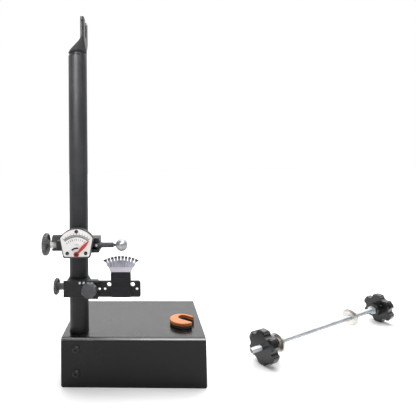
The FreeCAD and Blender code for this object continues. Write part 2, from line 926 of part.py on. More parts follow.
def make_guide_screws():
    screws = [
        turned(
            f"guide_screw_{step + 1}",
            button_profile(
                dim.guide_screw_radius, dim.guide_screw_height, dim.guide_screw_shank,
                dim.guide_screw_depth,
            ),
            *from_column(
                dim.guide_screw_first + dim.guide_screw_pitch * step, dim.guide_front,
                dim.guide_top - dim.guide_screw_drop,
            ),
            Y_WAY,
        )
        for step in (0, 1)
    ]
    return keep(grouped("guide_screws", *screws))


def make_clamp_tip(name, x, ahead, height, way):
    """The pad at a clamp screw's end, from the face it presses on outwards."""
    profile = [
        (zero, zero), (dim.tip_radius, zero), (dim.tip_radius, dim.tip_length), (zero, dim.tip_length),
    ]
    return keep(turned(name, profile, *from_column(x, ahead, height), way))


def make_clamp_screw(name, length, x, ahead, height, way):
    edge = dim.screw_radius * POINT_SHARE
    profile = [
        (zero, zero), (dim.screw_radius - edge, zero), (dim.screw_radius, edge),
        (dim.screw_radius, length), (zero, length),
    ]
    return keep(turned(name, profile, *from_column(x, ahead, height), way))


def make_clamp_knob(name, sizes, x, ahead, height, way):
    """A fluted knob with its neck, its axis starting at the neck's end."""
    body = new_body(name)
    rim = sizes.neck_length
    top = rim + sizes.thickness
    edge = dim.knob_edge
    spun(body, [
        (zero, zero), (sizes.neck, zero), (sizes.neck, rim), (sizes.radius - edge, rim),
        (sizes.radius, rim + edge), (sizes.radius, top - edge), (sizes.radius - edge, top), (zero, top),
    ])
    flute = new_sketch(body, "XY_Plane", rim)
    circle(flute, sizes.radius + sizes.flute - sizes.flute_depth, zero, sizes.flute)
    cutter = pocket(body, flute, sizes.thickness + dim.overrun, reverse=True)
    patterned(body, cutter, sizes.count)
    drill(body, "XY_Plane", zero, zero, dim.screw_radius, sizes.hole, reverse=True)
    place(body, *from_column(x, ahead, height), turned_to(way))
    return keep(body)


def make_radial_clamp():
    height = dim.radial_clamp_height
    away = -X_WAY
    make_clamp_tip("radial_clamp_tip", -dim.column_radius, zero, height, away)
    start = dim.column_radius + dim.tip_length
    hole = dim.radial_knob_start - dim.radial_neck_start + dim.radial_knob_thickness / 2
    end = dim.radial_neck_start + hole
    make_clamp_screw("radial_clamp_screw", end - start, -start, zero, height, away)
    sizes = SimpleNamespace(
        neck=dim.radial_neck_radius, neck_length=dim.radial_knob_start - dim.radial_neck_start,
        radius=dim.radial_knob_radius, thickness=dim.radial_knob_thickness, flute=dim.flute_radius,
        flute_depth=dim.flute_depth, count=FLUTES, hole=hole,
    )
    make_clamp_knob("radial_clamp_knob", sizes, -dim.radial_neck_start, zero, height, away)


def make_bar_lock():
    away = -Y_WAY
    make_clamp_tip("bar_lock_tip", dim.lock_reach, bar_front, dim.lock_height, away)
    start = bar_front + dim.tip_length
    hole = dim.lock_knob_start - dim.lock_neck_start + dim.lock_knob_thickness / 2
    end = dim.lock_neck_start + hole
    make_clamp_screw("bar_lock_screw", end - start, dim.lock_reach, start, dim.lock_height, away)
    sizes = SimpleNamespace(
        neck=dim.lock_neck_radius, neck_length=dim.lock_knob_start - dim.lock_neck_start,
        radius=dim.lock_knob_radius, thickness=dim.lock_knob_thickness, flute=dim.lobe_flute_radius,
        flute_depth=dim.lobe_flute_depth, count=LOCK_LOBES, hole=hole,
    )
    make_clamp_knob("bar_lock_knob", sizes, dim.lock_reach, dim.lock_neck_start, dim.lock_height, away)


# Comb: a fanned sheet with radial slots, held to the front of a sliding bar
def make_comb_bar():
    body = new_body("comb_bar")
    side = new_sketch(body, "XZ_Plane", bar_back)
    rectangle(side, -dim.bar_left, dim.bar_bottom, dim.bar_right, bar_top)
    bar = pad(body, side, dim.bar_thickness)
    ends = edges_that(
        bar.Shape, lambda edge: runs_along(edge, Y_WAY) and near(middle(edge).x, dim.bar_right)
    )
    eased(body, "Fillet", bar, ends, dim.bar_corner)
    holes = [
        (comb_x - dim.bar_hole_reach, bar_top - dim.bar_hole_drop, dim.bar_hole_radius),
        (comb_x + dim.bar_hole_reach, bar_top - dim.bar_hole_drop, dim.bar_hole_radius),
        (comb_x - dim.index_hole_reach - dim.index_pitch, bar_middle, dim.index_hole_radius),
        (comb_x - dim.index_hole_reach, bar_middle, dim.index_hole_radius),
        (comb_x + dim.index_hole_reach, bar_middle, dim.index_hole_radius),
        (comb_x - dim.rivet_reach, bar_middle, dim.rivet_radius + dim.running_gap),
        (comb_x + dim.rivet_reach, bar_middle, dim.rivet_radius + dim.running_gap),
    ]
    for x, height, radius in holes:
        drill(
            body, "XZ_Plane", x, height, radius, dim.bar_thickness + dim.overrun,
            offset=bar_back, reverse=True,
        )
    return keep(on_column(body))


def make_comb_holder():
    body = new_body("comb_holder")
    side = new_sketch(body, "XZ_Plane", bar_front)
    half = dim.holder_width / 2
    rectangle(side, comb_x - half, dim.holder_bottom, comb_x + half, dim.holder_top)
    plate = pad(body, side, dim.holder_thickness)
    corners = edges_that(plate.Shape, lambda edge: runs_along(edge, Y_WAY))
    eased(body, "Fillet", plate, corners, dim.holder_corner)
    for height in (bar_middle, rivet_height):
        for way in (-1, 1):
            drill(
                body, "XZ_Plane", comb_x + dim.rivet_reach * way, height,
                dim.rivet_radius + dim.running_gap, dim.rivet_bite + dim.running_gap,
                offset=bar_front, reverse=True,
            )
    return keep(on_column(body))


def comb_turned(radius, across, angle):
    """A point at a radius from the comb's centre, shifted sideways, in a direction from upright."""
    return radius * sine(angle) + across * cosine(angle), radius * cosine(angle) - across * sine(angle)


def make_comb_plate():
    centre_height = dim.comb_top - dim.comb_reach
    fan = new_body("comb_fan")
    face = new_sketch(fan, "XZ_Plane", bar_back - dim.overrun)
    half = dim.comb_span / 2
    tip = root(dim.comb_reach * dim.comb_reach - half * half)
    rise = [
        (dim.comb_waist, dim.comb_tab_bottom - centre_height),
        (dim.comb_waist, dim.comb_step_bottom - centre_height),
        (dim.comb_flare, dim.comb_flare_height - centre_height),
        (dim.comb_cheek, dim.comb_cheek_height - centre_height),
        (dim.comb_jaw, dim.comb_jaw_height - centre_height),
    ]
    right = [*rise, (half, tip, dim.comb_reach)]
    left = [(-half, tip)] + [(-x, z) for x, z in reversed(rise)]
    outline(face, right + left)
    pad(fan, face, dim.bar_thickness + dim.overrun * 2)
    slot = new_sketch(fan, "XZ_Plane", bar_back - dim.overrun * 2)
    first = -dim.tooth_pitch_degrees * ((TOOTH_SLOTS - 1) / 2)
    floor = dim.comb_reach - dim.tooth_slot_depth
    above = dim.comb_reach + dim.overrun
    across = dim.tooth_slot_width / 2
    outline(slot, [
        comb_turned(floor, -across, first), comb_turned(floor, across, first),
        comb_turned(above, across, first), comb_turned(above, -across, first),
    ])
    tooth = pocket(fan, slot, dim.bar_thickness + dim.overrun * 4, reverse=True)
    patterned(fan, tooth, TOOTH_SLOTS, dim.tooth_pitch_degrees * (TOOTH_SLOTS - 1), "Y_Axis")
    for way in (-1, 1):
        drill(
            fan, "XZ_Plane", dim.rivet_reach * way, rivet_height - centre_height,
            dim.rivet_radius + dim.running_gap, dim.bar_thickness + dim.overrun * 4,
            offset=bar_back - dim.overrun * 2, reverse=True,
        )
    place(fan, *from_column(comb_x, zero, centre_height))
    bend = new_body("comb_bend")
    side = new_sketch(bend, "YZ_Plane")
    slope = root(dim.comb_step * dim.comb_step + dim.comb_step_height * dim.comb_step_height)
    shift = dim.comb_thickness * (slope - dim.comb_step_height) / dim.comb_step
    low, high = dim.comb_step_bottom, dim.comb_step_bottom + dim.comb_step_height
    tab_front, fan_front = -bar_front, -bar_front + dim.comb_step
    tab_back, fan_back = tab_front + dim.comb_thickness, fan_front + dim.comb_thickness
    bottom, top = dim.comb_tab_bottom - dim.overrun, dim.comb_top + dim.overrun
    outline(side, [
        (tab_front, bottom), (tab_back, bottom), (tab_back, low - shift), (fan_back, high - shift),
        (fan_back, top), (fan_front, top), (fan_front, high), (tab_front, low),
    ])
    pad(bend, side, dim.comb_span + dim.overrun, both_ways=True)
    place(bend, *from_column(comb_x, zero, zero))
    return keep(combined("Common", "comb_plate", fan, bend))


def make_comb_fasteners():
    rivets = []
    screws = []
    for number, way in enumerate((-1, 1), start=1):
        x = comb_x + dim.rivet_reach * way
        rivet_shank = dim.comb_thickness + dim.rivet_bite
        rivets.append(turned(
            f"comb_rivet_{number}",
            button_profile(dim.rivet_head_radius, dim.rivet_head_height, dim.rivet_radius, rivet_shank),
            *from_column(x, bar_front - dim.comb_thickness, rivet_height), -Y_WAY,
        ))
        screw_shank = dim.bar_thickness + dim.rivet_bite
        screws.append(turned(
            f"holder_screw_{number}",
            button_profile(dim.rivet_head_radius, dim.rivet_head_height, dim.rivet_radius, screw_shank),
            *from_column(x, bar_back, bar_middle), -Y_WAY,
        ))
    keep(grouped("comb_rivets", *rivets))
    keep(grouped("holder_screws", *screws))


# Lateral carriage: carries the plunger that feels the rim and the gauge that shows it
def make_lateral_block():
    body = new_body("lateral_block")
    middle_height = dim.rod_height
    seat = (-dim.seat_left, dim.seat_right, seat_bottom, seat_top)
    housing = (
        -dim.block_left, -dim.seat_left, middle_height - dim.housing_half,
        middle_height + dim.housing_half,
    )
    prongs = (
        dim.seat_right, dim.block_right, middle_height - dim.prong_drop, middle_height + dim.prong_rise,
    )
    for left, right, low, high in (seat, housing, prongs):
        plan = new_sketch(body, "XY_Plane", low)
        rectangle(plan, left, -dim.block_front, right, zero)
        block = pad(body, plan, high - low)
    ends = edges_that(
        block.Shape,
        lambda edge: near(middle(edge).x, -dim.block_left) or near(middle(edge).x, dim.block_right),
    )
    eased(body, "Fillet", block, ends, dim.edge_round)
    collar = new_sketch(body, "XY_Plane", seat_bottom)
    circle(collar, zero, zero, dim.block_collar_radius)
    pad(body, collar, seat_top - seat_bottom)
    ear = new_sketch(body, "YZ_Plane", -dim.ear_end)
    circle(ear, zero, dim.rod_height - dim.ear_drop, dim.ear_radius)
    pad(body, ear, dim.ear_end - dim.column_radius)
    drill(body, "XY_Plane", zero, zero, carriage_bore, seat_top + dim.overrun, reverse=True)
    nut_half = dim.clamp_nut_width / 2 + dim.free_gap
    nut_room = dim.clamp_nut_width / math.sqrt(3) + dim.free_gap
    pouch = new_sketch(body, "XZ_Plane", -nut_room)
    rectangle(
        pouch, -dim.ear_end - dim.overrun, lateral_clamp_height - nut_half,
        -dim.clamp_nut_start + dim.running_gap, lateral_clamp_height + nut_half,
    )
    pocket(body, pouch, nut_room + dim.block_front + dim.overrun, reverse=True)
    drill(
        body, "YZ_Plane", zero, lateral_clamp_height, thread_bore, dim.ear_end + dim.overrun,
    )
    window = new_sketch(body, "XZ_Plane", dim.window_back)
    rectangle(
        window, dim.pivot_offset - dim.window_half, pivot_height + dim.window_low,
        dim.pivot_offset + dim.window_half, pivot_height + dim.window_high,
    )
    pocket(body, window, dim.block_front - dim.window_back + dim.overrun, reverse=True)
    mouth = new_sketch(body, "XZ_Plane", dim.rod_line - dim.mouth_half)
    rectangle(
        mouth, dim.mouth_start, dim.rod_height - dim.mouth_half,
        dim.block_right + dim.overrun, dim.rod_height + dim.mouth_half,
    )
    pocket(body, mouth, dim.block_front - dim.rod_line + dim.mouth_half + dim.overrun, reverse=True)
    drill(
        body, "YZ_Plane", -dim.rod_line, dim.rod_height, dim.spring_radius + dim.free_gap,
        dim.spring_left, offset=-dim.spring_left, reverse=True,
    )
    drill(
        body, "YZ_Plane", -dim.rod_line, dim.rod_height, dim.bush_radius, dim.mouth_start,
        offset=dim.pivot_offset, reverse=True,
    )
    for x, rise in gauge_screw_spots:
        if rise is dim.gauge_screw_low:
            drill(
                body, "XZ_Plane", dim.pivot_offset + x, pivot_height + rise,
                dim.gauge_screw_radius + dim.running_gap, dim.gauge_screw_grip + dim.running_gap,
                offset=dim.block_front,
            )
    return keep(on_column(body))


def make_lateral_clamp():
    height = lateral_clamp_height
    away = -X_WAY
    make_clamp_tip("lateral_clamp_tip", -dim.column_radius, zero, height, away)
    start = dim.column_radius + dim.tip_length
    hole = dim.lateral_knob_start - dim.lateral_neck_start + dim.lateral_knob_thickness / 2
    end = dim.lateral_neck_start + hole
    make_clamp_screw("lateral_clamp_screw", end - start, -start, zero, height, away)
    sizes = SimpleNamespace(
        neck=dim.lateral_neck_radius, neck_length=dim.lateral_knob_start - dim.lateral_neck_start,
        radius=dim.lateral_knob_radius, thickness=dim.lateral_knob_thickness, flute=dim.flute_radius,
        flute_depth=dim.flute_depth, count=FLUTES + LOCK_LOBES, hole=hole,
    )
    make_clamp_knob("lateral_clamp_knob", sizes, -dim.lateral_neck_start, zero, height, away)
    flats_level = Rotation(Y_WAY, Z_WAY, -X_WAY, "ZXY")
    keep(hex_nut(
        "clamp_nut", dim.clamp_nut_width, dim.clamp_nut_length, thread_bore,
        *from_column(-dim.clamp_nut_start, zero, height), flats_level,
    ))


# Plunger: a sprung rod with a ball that rides on the rim, and a fork that drives the needle
def make_plunger_rod():
    left = -dim.stem_left
    points = [
        (zero, left), (dim.stem_radius, left), (dim.stem_radius, dim.shoulder_start),
        (dim.shoulder_radius, dim.shoulder_start), (dim.shoulder_radius, dim.shoulder_taper_start),
        (dim.rod_radius, dim.shoulder_taper_end), (dim.rod_radius, dim.rod_end),
        (dim.neck_radius, dim.rod_end), (dim.neck_radius, ball_seat), (zero, ball_seat),
    ]
    body = new_body("plunger_rod")
    spun(body, points)
    drill(
        body, "YZ_Plane", zero, dim.arm_screw_line, dim.arm_screw_radius + dim.running_gap,
        dim.shoulder_radius, offset=dim.shoulder_radius - dim.arm_screw_sink - dim.arm_screw_length,
        reverse=True,
    )
    upright = Rotation(-Y_WAY, -Z_WAY, X_WAY, "ZXY")
    place(body, *from_column(zero, dim.rod_line, dim.rod_height), upright)
    return keep(body)


def make_arm_screw():
    body = new_body("arm_screw")
    plan = new_sketch(body, "XY_Plane")
    circle(plan, zero, zero, dim.arm_screw_radius)
    pad(body, plan, dim.arm_screw_length)
    key = new_sketch(body, "XY_Plane", dim.arm_screw_length)
    hexagon(key, dim.arm_screw_socket)
    pocket(body, key, dim.arm_screw_length / 2)
    inner_end = dim.rod_line + dim.shoulder_radius - dim.arm_screw_sink - dim.arm_screw_length
    place(body, *from_column(dim.arm_screw_line, inner_end, dim.rod_height), turned_to(-Y_WAY))
    return keep(body)


def make_plunger_ball():
    body = new_body("plunger_ball")
    radius = dim.ball_radius
    spun(body, [(zero, -radius, radius), (radius, zero, radius), (zero, radius)])
    drill(
        body, "XY_Plane", zero, zero, dim.neck_radius, dim.ball_seat_depth,
        offset=-radius, reverse=True,
    )
    place(body, *from_column(dim.ball_centre, dim.rod_line, dim.rod_height), turned_to(X_WAY))
    return keep(body)


def make_plunger_fork():
    body = new_body("plunger_fork")
    collar = new_sketch(body, "YZ_Plane", -dim.fork_half_width)
    half = dim.fork_collar_half
    rectangle(collar, -half, -half, half, half)
    pad(body, collar, dim.fork_half_width * 2)
    drill(
        body, "YZ_Plane", zero, zero, dim.stem_radius, dim.fork_half_width * 3, both_ways=True,
    )
    tongue = new_sketch(body, "YZ_Plane", -dim.fork_half_width)
    rectangle(tongue, -dim.fork_reach + dim.rod_line, -dim.fork_drop, -half, half)
    pad(body, tongue, dim.fork_half_width * 2)
    slot = new_sketch(body, "XZ_Plane", half)
    outline(slot, [
        (-dim.fork_slot_half, -dim.fork_drop - dim.overrun),
        (dim.fork_slot_half, -dim.fork_drop - dim.overrun),
        (dim.fork_slot_half, -dim.fork_slot_top), (-dim.fork_slot_half, -dim.fork_slot_top),
    ])
    pocket(body, slot, dim.fork_reach, reverse=True)
    place(body, *from_column(fork_x, dim.rod_line, dim.rod_height))
    return keep(body)


def helix_spot(turn, coil, length, turns):
    """A place on a helix about Z after some turns, and its direction there."""
    angle = math.tau * turn
    climb = length / turns
    spot = Vector(coil * math.cos(angle), coil * math.sin(angle), climb * turn)
    way = Vector(-math.tau * coil * math.sin(angle), math.tau * coil * math.cos(angle), climb)
    return spot, way.normalize()


def tangent_arc(start, corner, end):
    """The arc from start to end whose end tangents meet at the corner."""
    chord_middle = (start + end) * 0.5
    half_chord = (end - start).Length / 2
    rise = corner - chord_middle
    radius = half_chord * (corner - start).Length / rise.Length
    bulge = radius - math.sqrt(radius * radius - half_chord * half_chord)
    return Part.Arc(start, chord_middle + rise * (bulge / rise.Length), end).toShape()


def biarc(first, last):
    """Two tangent arcs between two places, each given with its direction."""
    (start, start_way), (end, end_way) = first, last
    reach = end - start
    bend = 1 - start_way.dot(end_way)
    pull = reach.dot(start_way + end_way)
    arm = (math.sqrt(pull * pull + 2 * bend * reach.dot(reach)) - pull) / (2 * bend)
    first_corner, last_corner = start + start_way * arm, end - end_way * arm
    joint = (first_corner + last_corner) * 0.5
    return [tangent_arc(start, first_corner, joint), tangent_arc(joint, last_corner, end)]


def make_plunger_spring():
    """A coil from the blind end of its bore to the fork on the rod."""
    wire = dim.spring_wire.value / 2
    coil = dim.spring_radius.value - wire
    length = (dim.spring_left + fork_x - dim.fork_half_width).value - 2 * wire
    turns = dim.spring_turns.value
    stations = [step / QUARTERS for step in range(round(turns * QUARTERS) + 1)]
    spots = [helix_spot(turn, coil, length, turns) for turn in stations]
    path = Part.Wire([arc for first, last in zip(spots, spots[1:]) for arc in biarc(first, last)])
    start, way = spots[0]
    section = Part.Wire(Part.Circle(start, way, wire).toShape())
    made = doc.addObject("Part::Feature", "plunger_spring")
    made.Shape = path.makePipeShell([section], True, False)
    place(
        made, *from_column(-dim.spring_left + dim.spring_wire / 2, dim.rod_line, dim.rod_height),
        turned_to(X_WAY),
    )
    return keep(made)


def make_rod_bush():
    inner = dim.stem_radius + dim.running_gap
    wall = dim.mouth_start - dim.pivot_offset - dim.window_half
    x = dim.mouth_start - wall
    return keep(ring(
        "rod_bush", dim.bush_radius, inner, wall,
        *from_column(x, dim.rod_line, dim.rod_height), X_WAY,
    ))


# Gauge: a casing in front of the lateral carriage, its face, and a needle on a pivot
gauge_screw_spots = (
    (zero, dim.gauge_screw_high), (-dim.gauge_screw_reach, dim.gauge_screw_low),
    (dim.gauge_screw_reach, dim.gauge_screw_low),
)


def gauge_outline(sketch, rim, sill):
    """The gauge's front outline about the needle's pivot, drawn out by a rim."""
    half = dim.shoulder_half + rim
    rise = dim.dome_rise + rim - dim.shoulder_rise
    dome = (half * half + rise * rise) / (rise * 2)
    outline(sketch, [
        (-dim.foot_half - rim, -dim.foot_drop - sill), (dim.foot_half + rim, -dim.foot_drop - sill),
        (half, dim.shoulder_rise, dome), (-half, dim.shoulder_rise),
    ])


def gauge_plate(name, rim, sill, thickness, plane):
    body = new_body(name)
    sketch = new_sketch(body, "XZ_Plane")
    gauge_outline(sketch, rim, sill)
    plate = pad(body, sketch, thickness)
    feet = edges_that(
        plate.Shape, lambda edge: runs_along(edge, Y_WAY) and middle(edge).z < 0
    )
    eased(body, "Fillet", plate, feet, dim.foot_corner)
    place(body, *from_column(dim.pivot_offset, plane, pivot_height))
    return body


def make_gauge_casing():
    body = gauge_plate("gauge_casing", dim.casing_rim, dim.casing_sill, dim.casing_depth, dim.block_front)
    window = new_sketch(body, "XZ_Plane")
    rectangle(window, -dim.window_half, dim.window_low, dim.window_half, dim.window_high)
    pocket(body, window, dim.casing_depth + dim.overrun, reverse=True)
    for x, rise in gauge_screw_spots:
        length = dim.casing_depth + dim.overrun
        drill(body, "XZ_Plane", x, rise, dim.gauge_screw_radius + dim.running_gap, length, reverse=True)
    drill(
        body, "XZ_Plane", zero, zero, dim.pivot_radius, dim.casing_depth + dim.overrun, reverse=True,
    )
    return keep(body)


def make_gauge_face():
    body = gauge_plate("gauge_face", zero, zero, dim.face_thickness, face_back)
    for x, rise in gauge_screw_spots:
        drill(
            body, "XZ_Plane", x, rise, dim.gauge_screw_radius + dim.running_gap,
            dim.casing_depth, reverse=True,
        )
    drill(body, "XZ_Plane", zero, zero, dim.pivot_radius, dim.casing_depth, reverse=True)
    slot = new_sketch(body, "XZ_Plane")
    half_sweep = dim.face_slot_degrees / 2
    inner, outer = dim.pin_arm - dim.face_slot_half, dim.pin_arm + dim.face_slot_half
    inner_x, inner_z = inner * sine(half_sweep), inner * cosine(half_sweep)
    outer_x, outer_z = outer * sine(half_sweep), outer * cosine(half_sweep)
    outline(slot, [
        (inner_x, inner_z), (outer_x, outer_z, outer), (-outer_x, outer_z), (-inner_x, inner_z, -inner),
    ])
    pocket(body, slot, dim.casing_depth, reverse=True)
    return keep(body)


def make_gauge_screws():
    screws = []
    for number, (x, rise) in enumerate(gauge_screw_spots, start=1):
        length = dim.face_thickness + dim.casing_depth
        if rise is dim.gauge_screw_low:
            length = length + dim.gauge_screw_grip
        screws.append(turned(
            f"gauge_screw_{number}",
            button_profile(dim.gauge_screw_head, dim.gauge_screw_height, dim.gauge_screw_radius, length),
            *from_column(dim.pivot_offset + x, face_front, pivot_height + rise), Y_WAY,
        ))
    return keep(grouped("gauge_screws", *screws))


def make_needle_pivot():
    """A shouldered pin from the casing, through the needle, to its own head."""
    seat = dim.block_front + dim.running_gap
    head = needle_front + dim.running_gap * 2
    length = head - seat
    return keep(turned(
        "needle_pivot",
        button_profile(dim.pivot_head, dim.pivot_head_height, dim.pivot_radius, length),
        *from_column(dim.pivot_offset, head, pivot_height), Y_WAY,
    ))


def make_gauge_needle():
    body = new_body("gauge_needle")
    hub = new_sketch(body, "XZ_Plane")
    circle(hub, zero, zero, dim.needle_hub)
    pad(body, hub, dim.needle_thickness)
    blade = new_sketch(body, "XZ_Plane")
    outline(blade, [
        (dim.needle_root, zero), (dim.needle_half, dim.needle_widest), (zero, dim.needle_length),
        (-dim.needle_half, dim.needle_widest), (-dim.needle_root, zero),
    ])
    pad(body, blade, dim.needle_thickness)
    drill(
        body, "XZ_Plane", zero, zero, dim.pivot_radius + dim.running_gap,
        dim.needle_thickness + dim.overrun, reverse=True,
    )
    drill(
        body, "XZ_Plane", zero, dim.pin_arm, dim.pin_radius,
        dim.needle_thickness + dim.overrun, reverse=True,
    )
    place(
        body, *from_column(dim.pivot_offset, needle_back, pivot_height),
        Rotation(Y_WAY, dim.needle_swing_degrees.value),
    )
    bind(body, "Placement.Rotation.Angle", dim.needle_swing_degrees)
    return keep(body)


def make_needle_pin():
    pin_x = dim.pivot_offset + half_stroke
    profile = [
        (zero, zero), (dim.pin_radius, zero), (dim.pin_radius, dim.pin_length), (zero, dim.pin_length),
    ]
    return keep(turned(
        "needle_pin", profile, *from_column(pin_x, needle_front, pivot_height + pin_drop), Y_WAY,
    ))


# Spacer: a slotted disc in two layers, lying on the deck
def spacer_layer(name, thickness, height):
    body = new_body(name)
    plan = new_sketch(body, "XY_Plane")
    circle(plan, zero, zero, dim.spacer_radius)
    layer = pad(body, plan, thickness)
    rims = edges_that(layer.Shape, lambda edge: isinstance(edge.Curve, Part.Circle))
    eased(body, "Chamfer", layer, rims, dim.spacer_edge)
    drill(
        body, "XY_Plane", -dim.spacer_slot_back, dim.spacer_slot_offset, dim.spacer_slot,
        thickness + dim.overrun, reverse=True,
    )
    slot = new_sketch(body, "XY_Plane")
    rectangle(
        slot, -dim.spacer_slot_back, dim.spacer_slot_offset - dim.spacer_slot,
        dim.spacer_radius + dim.overrun, dim.spacer_slot_offset + dim.spacer_slot,
    )
    pocket(body, slot, thickness + dim.overrun, reverse=True)
    place(
        body, right_end - dim.spacer_inset, front + dim.spacer_setback, deck + height,
        Rotation(-Z_WAY, dim.spacer_turn_degrees.value),
    )
    bind(body, "Placement.Rotation.Angle", dim.spacer_turn_degrees)
    return keep(body)


def make_spacer():
    spacer_layer("spacer_pad", dim.spacer_pad_thickness, zero)
    spacer_layer("spacer_plate", dim.spacer_plate_thickness, dim.spacer_pad_thickness)


# Adapter: a threaded rod with two star knobs and two cones, lying on the knobs
rod_heading = math.radians(dim.adapter_turn_degrees.value)
rod_way = Vector(math.cos(rod_heading), math.sin(rod_heading), 0)


def on_adapter(piece, along, way=1):
    """Place a piece on the rod's axis, facing along it or back, with its X axis down."""
    across = Z_WAY.cross(rod_way)
    turn = Rotation(-Z_WAY, across * -way, rod_way * way, "ZXY")
    x = dim.adapter_x + along * cosine(dim.adapter_turn_degrees)
    y = dim.adapter_y + along * sine(dim.adapter_turn_degrees)
    place(piece, x, y, dim.star_radius, turn)
    return piece


def make_adapter_rod():
    body = new_body("adapter_rod")
    radius, bevel, length = dim.adapter_rod_radius, dim.adapter_rod_bevel, dim.adapter_rod_length
    spun(body, [
        (zero, zero), (radius - bevel, zero), (radius, bevel), (radius, length - bevel),
        (radius - bevel, length), (zero, length),
    ])
    return keep(on_adapter(body, zero))


def star_knob(name, bore, bore_length):
    """A lobed knob from its flat outer face, at zero, to the end of its hub."""
    body = new_body(name)
    radius, edge = dim.star_radius, dim.star_edge
    hub_end = dim.star_thickness + dim.star_hub_length
    spun(body, [
        (zero, zero), (radius - edge * 2, zero), (radius, edge), (radius, dim.star_thickness - edge),
        (radius - edge, dim.star_thickness), (dim.star_hub_radius, dim.star_thickness),
        (dim.star_hub_radius, hub_end), (zero, hub_end),
    ])
    flute = new_sketch(body, "XY_Plane")
    flute_line = radius + dim.star_flute_radius - dim.star_flute_depth
    between = math.pi / LOBES
    circle(flute, flute_line * math.cos(between), flute_line * math.sin(between), dim.star_flute_radius)
    cutter = pocket(body, flute, dim.star_thickness + dim.overrun, reverse=True)
    lobed = patterned(body, cutter, LOBES)
    ridge_line = radius.value - LOBE_MARGIN
    ridges = edges_that(
        lobed.Shape,
        lambda edge: runs_along(edge, Z_WAY) and math.hypot(middle(edge).x, middle(edge).y) > ridge_line,
    )
    eased(body, "Fillet", lobed, ridges, dim.star_ridge)
    drill(body, "XY_Plane", zero, zero, bore, bore_length, offset=hub_end)
    return body, hub_end


def make_adapter_knobs():
    whole = dim.star_thickness + dim.star_hub_length + dim.overrun
    near_knob, hub_end = star_knob("adapter_near_knob", dim.adapter_rod_radius + dim.running_gap, whole)
    keep(on_adapter(near_knob, dim.near_knob_start))
    far_hub = dim.far_knob_start
    rod_hold = dim.adapter_rod_length - far_hub
    far_knob, hub_end = star_knob("adapter_far_knob", dim.adapter_rod_radius, rod_hold)
    recess = new_sketch(far_knob, "XY_Plane", hub_end)
    hexagon(recess, dim.far_nut_width + dim.running_gap * 2)
    sunk = dim.far_nut_height - dim.far_nut_proud
    pocket(far_knob, recess, sunk)
    keep(on_adapter(far_knob, far_hub + hub_end, -1))
    nut = new_body("adapter_far_nut")
    plan = new_sketch(nut, "XY_Plane")
    hexagon(plan, dim.far_nut_width)
    circle(plan, zero, zero, dim.adapter_rod_radius)
    pad(nut, plan, dim.far_nut_height)
    keep(on_adapter(nut, far_hub + sunk, -1))


def make_cone(name, along, way):
    """A cone from its hub, which faces a knob, to its nose, which faces the other cone."""
    body = new_body(name)
    rim_end = dim.cone_hub_length + dim.cone_rim
    nose_end = rim_end + dim.cone_nose
    bore = dim.adapter_rod_radius + dim.cone_gap
    spun(body, [
        (bore, zero), (dim.cone_hub_radius, zero), (dim.cone_hub_radius, dim.cone_hub_length),
        (dim.cone_radius - dim.cone_bevel, dim.cone_hub_length),
        (dim.cone_radius, dim.cone_hub_length + dim.cone_bevel), (dim.cone_radius, rim_end),
        (dim.cone_nose_radius, nose_end), (bore, nose_end),
    ])
    return keep(on_adapter(body, along, way))


def make_cones():
    near_hub_end = dim.near_knob_start + dim.star_thickness + dim.star_hub_length
    make_cone("adapter_near_cone", near_hub_end, 1)
    make_cone("adapter_far_cone", dim.far_knob_start - dim.far_cone_gap, -1)


rivet_height = (dim.comb_tab_bottom + dim.holder_top) / 2
ball_seat = dim.ball_centre - dim.ball_radius + dim.ball_seat_depth
needle_back = face_front + dim.needle_gap
needle_front = needle_back + dim.needle_thickness

make_base_shell()
make_column_tube()
make_column_saddle()
make_column_fasteners()
make_radial_block()
make_guide_screws()
make_radial_clamp()
make_comb_bar()
make_comb_holder()
make_comb_plate()
make_comb_fasteners()
make_bar_lock()
make_lateral_block()
make_lateral_clamp()
make_rod_bush()
make_plunger_rod()
make_plunger_fork()
make_plunger_ball()
make_arm_screw()
make_plunger_spring()
make_gauge_casing()
make_gauge_face()
make_gauge_screws()
make_needle_pivot()
make_gauge_needle()
make_needle_pin()
make_spacer()
make_adapter_rod()
make_adapter_knobs()
make_cones()
doc.recompute()

# Every feature holds and every node is whole before it is written out
for thing in doc.Objects:
    if "Invalid" in thing.State or "Error" in thing.State:
        raise RuntimeError(f"{thing.Name} did not rebuild")
os.makedirs("parts", exist_ok=True)
for node in nodes:
    shape = node.Shape
    if shape.isNull() or not shape.isValid() or not shape.Solids:
        raise RuntimeError(f"{node.Name} is not a sound solid")
    Part.makeCompound(shape.Solids).exportStep(f"parts/{node.Name}.step")
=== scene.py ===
"""A bicycle wheel truing stand on a pale studio floor.

Every piece gets its finish. The tube, the rod, two knobs, the comb, the needle and the spring get
fuller meshes, and the dial its print. Then come the floor, the light and the camera.
"""

import json
import math

import bpy
from mathutils import Matrix, Vector


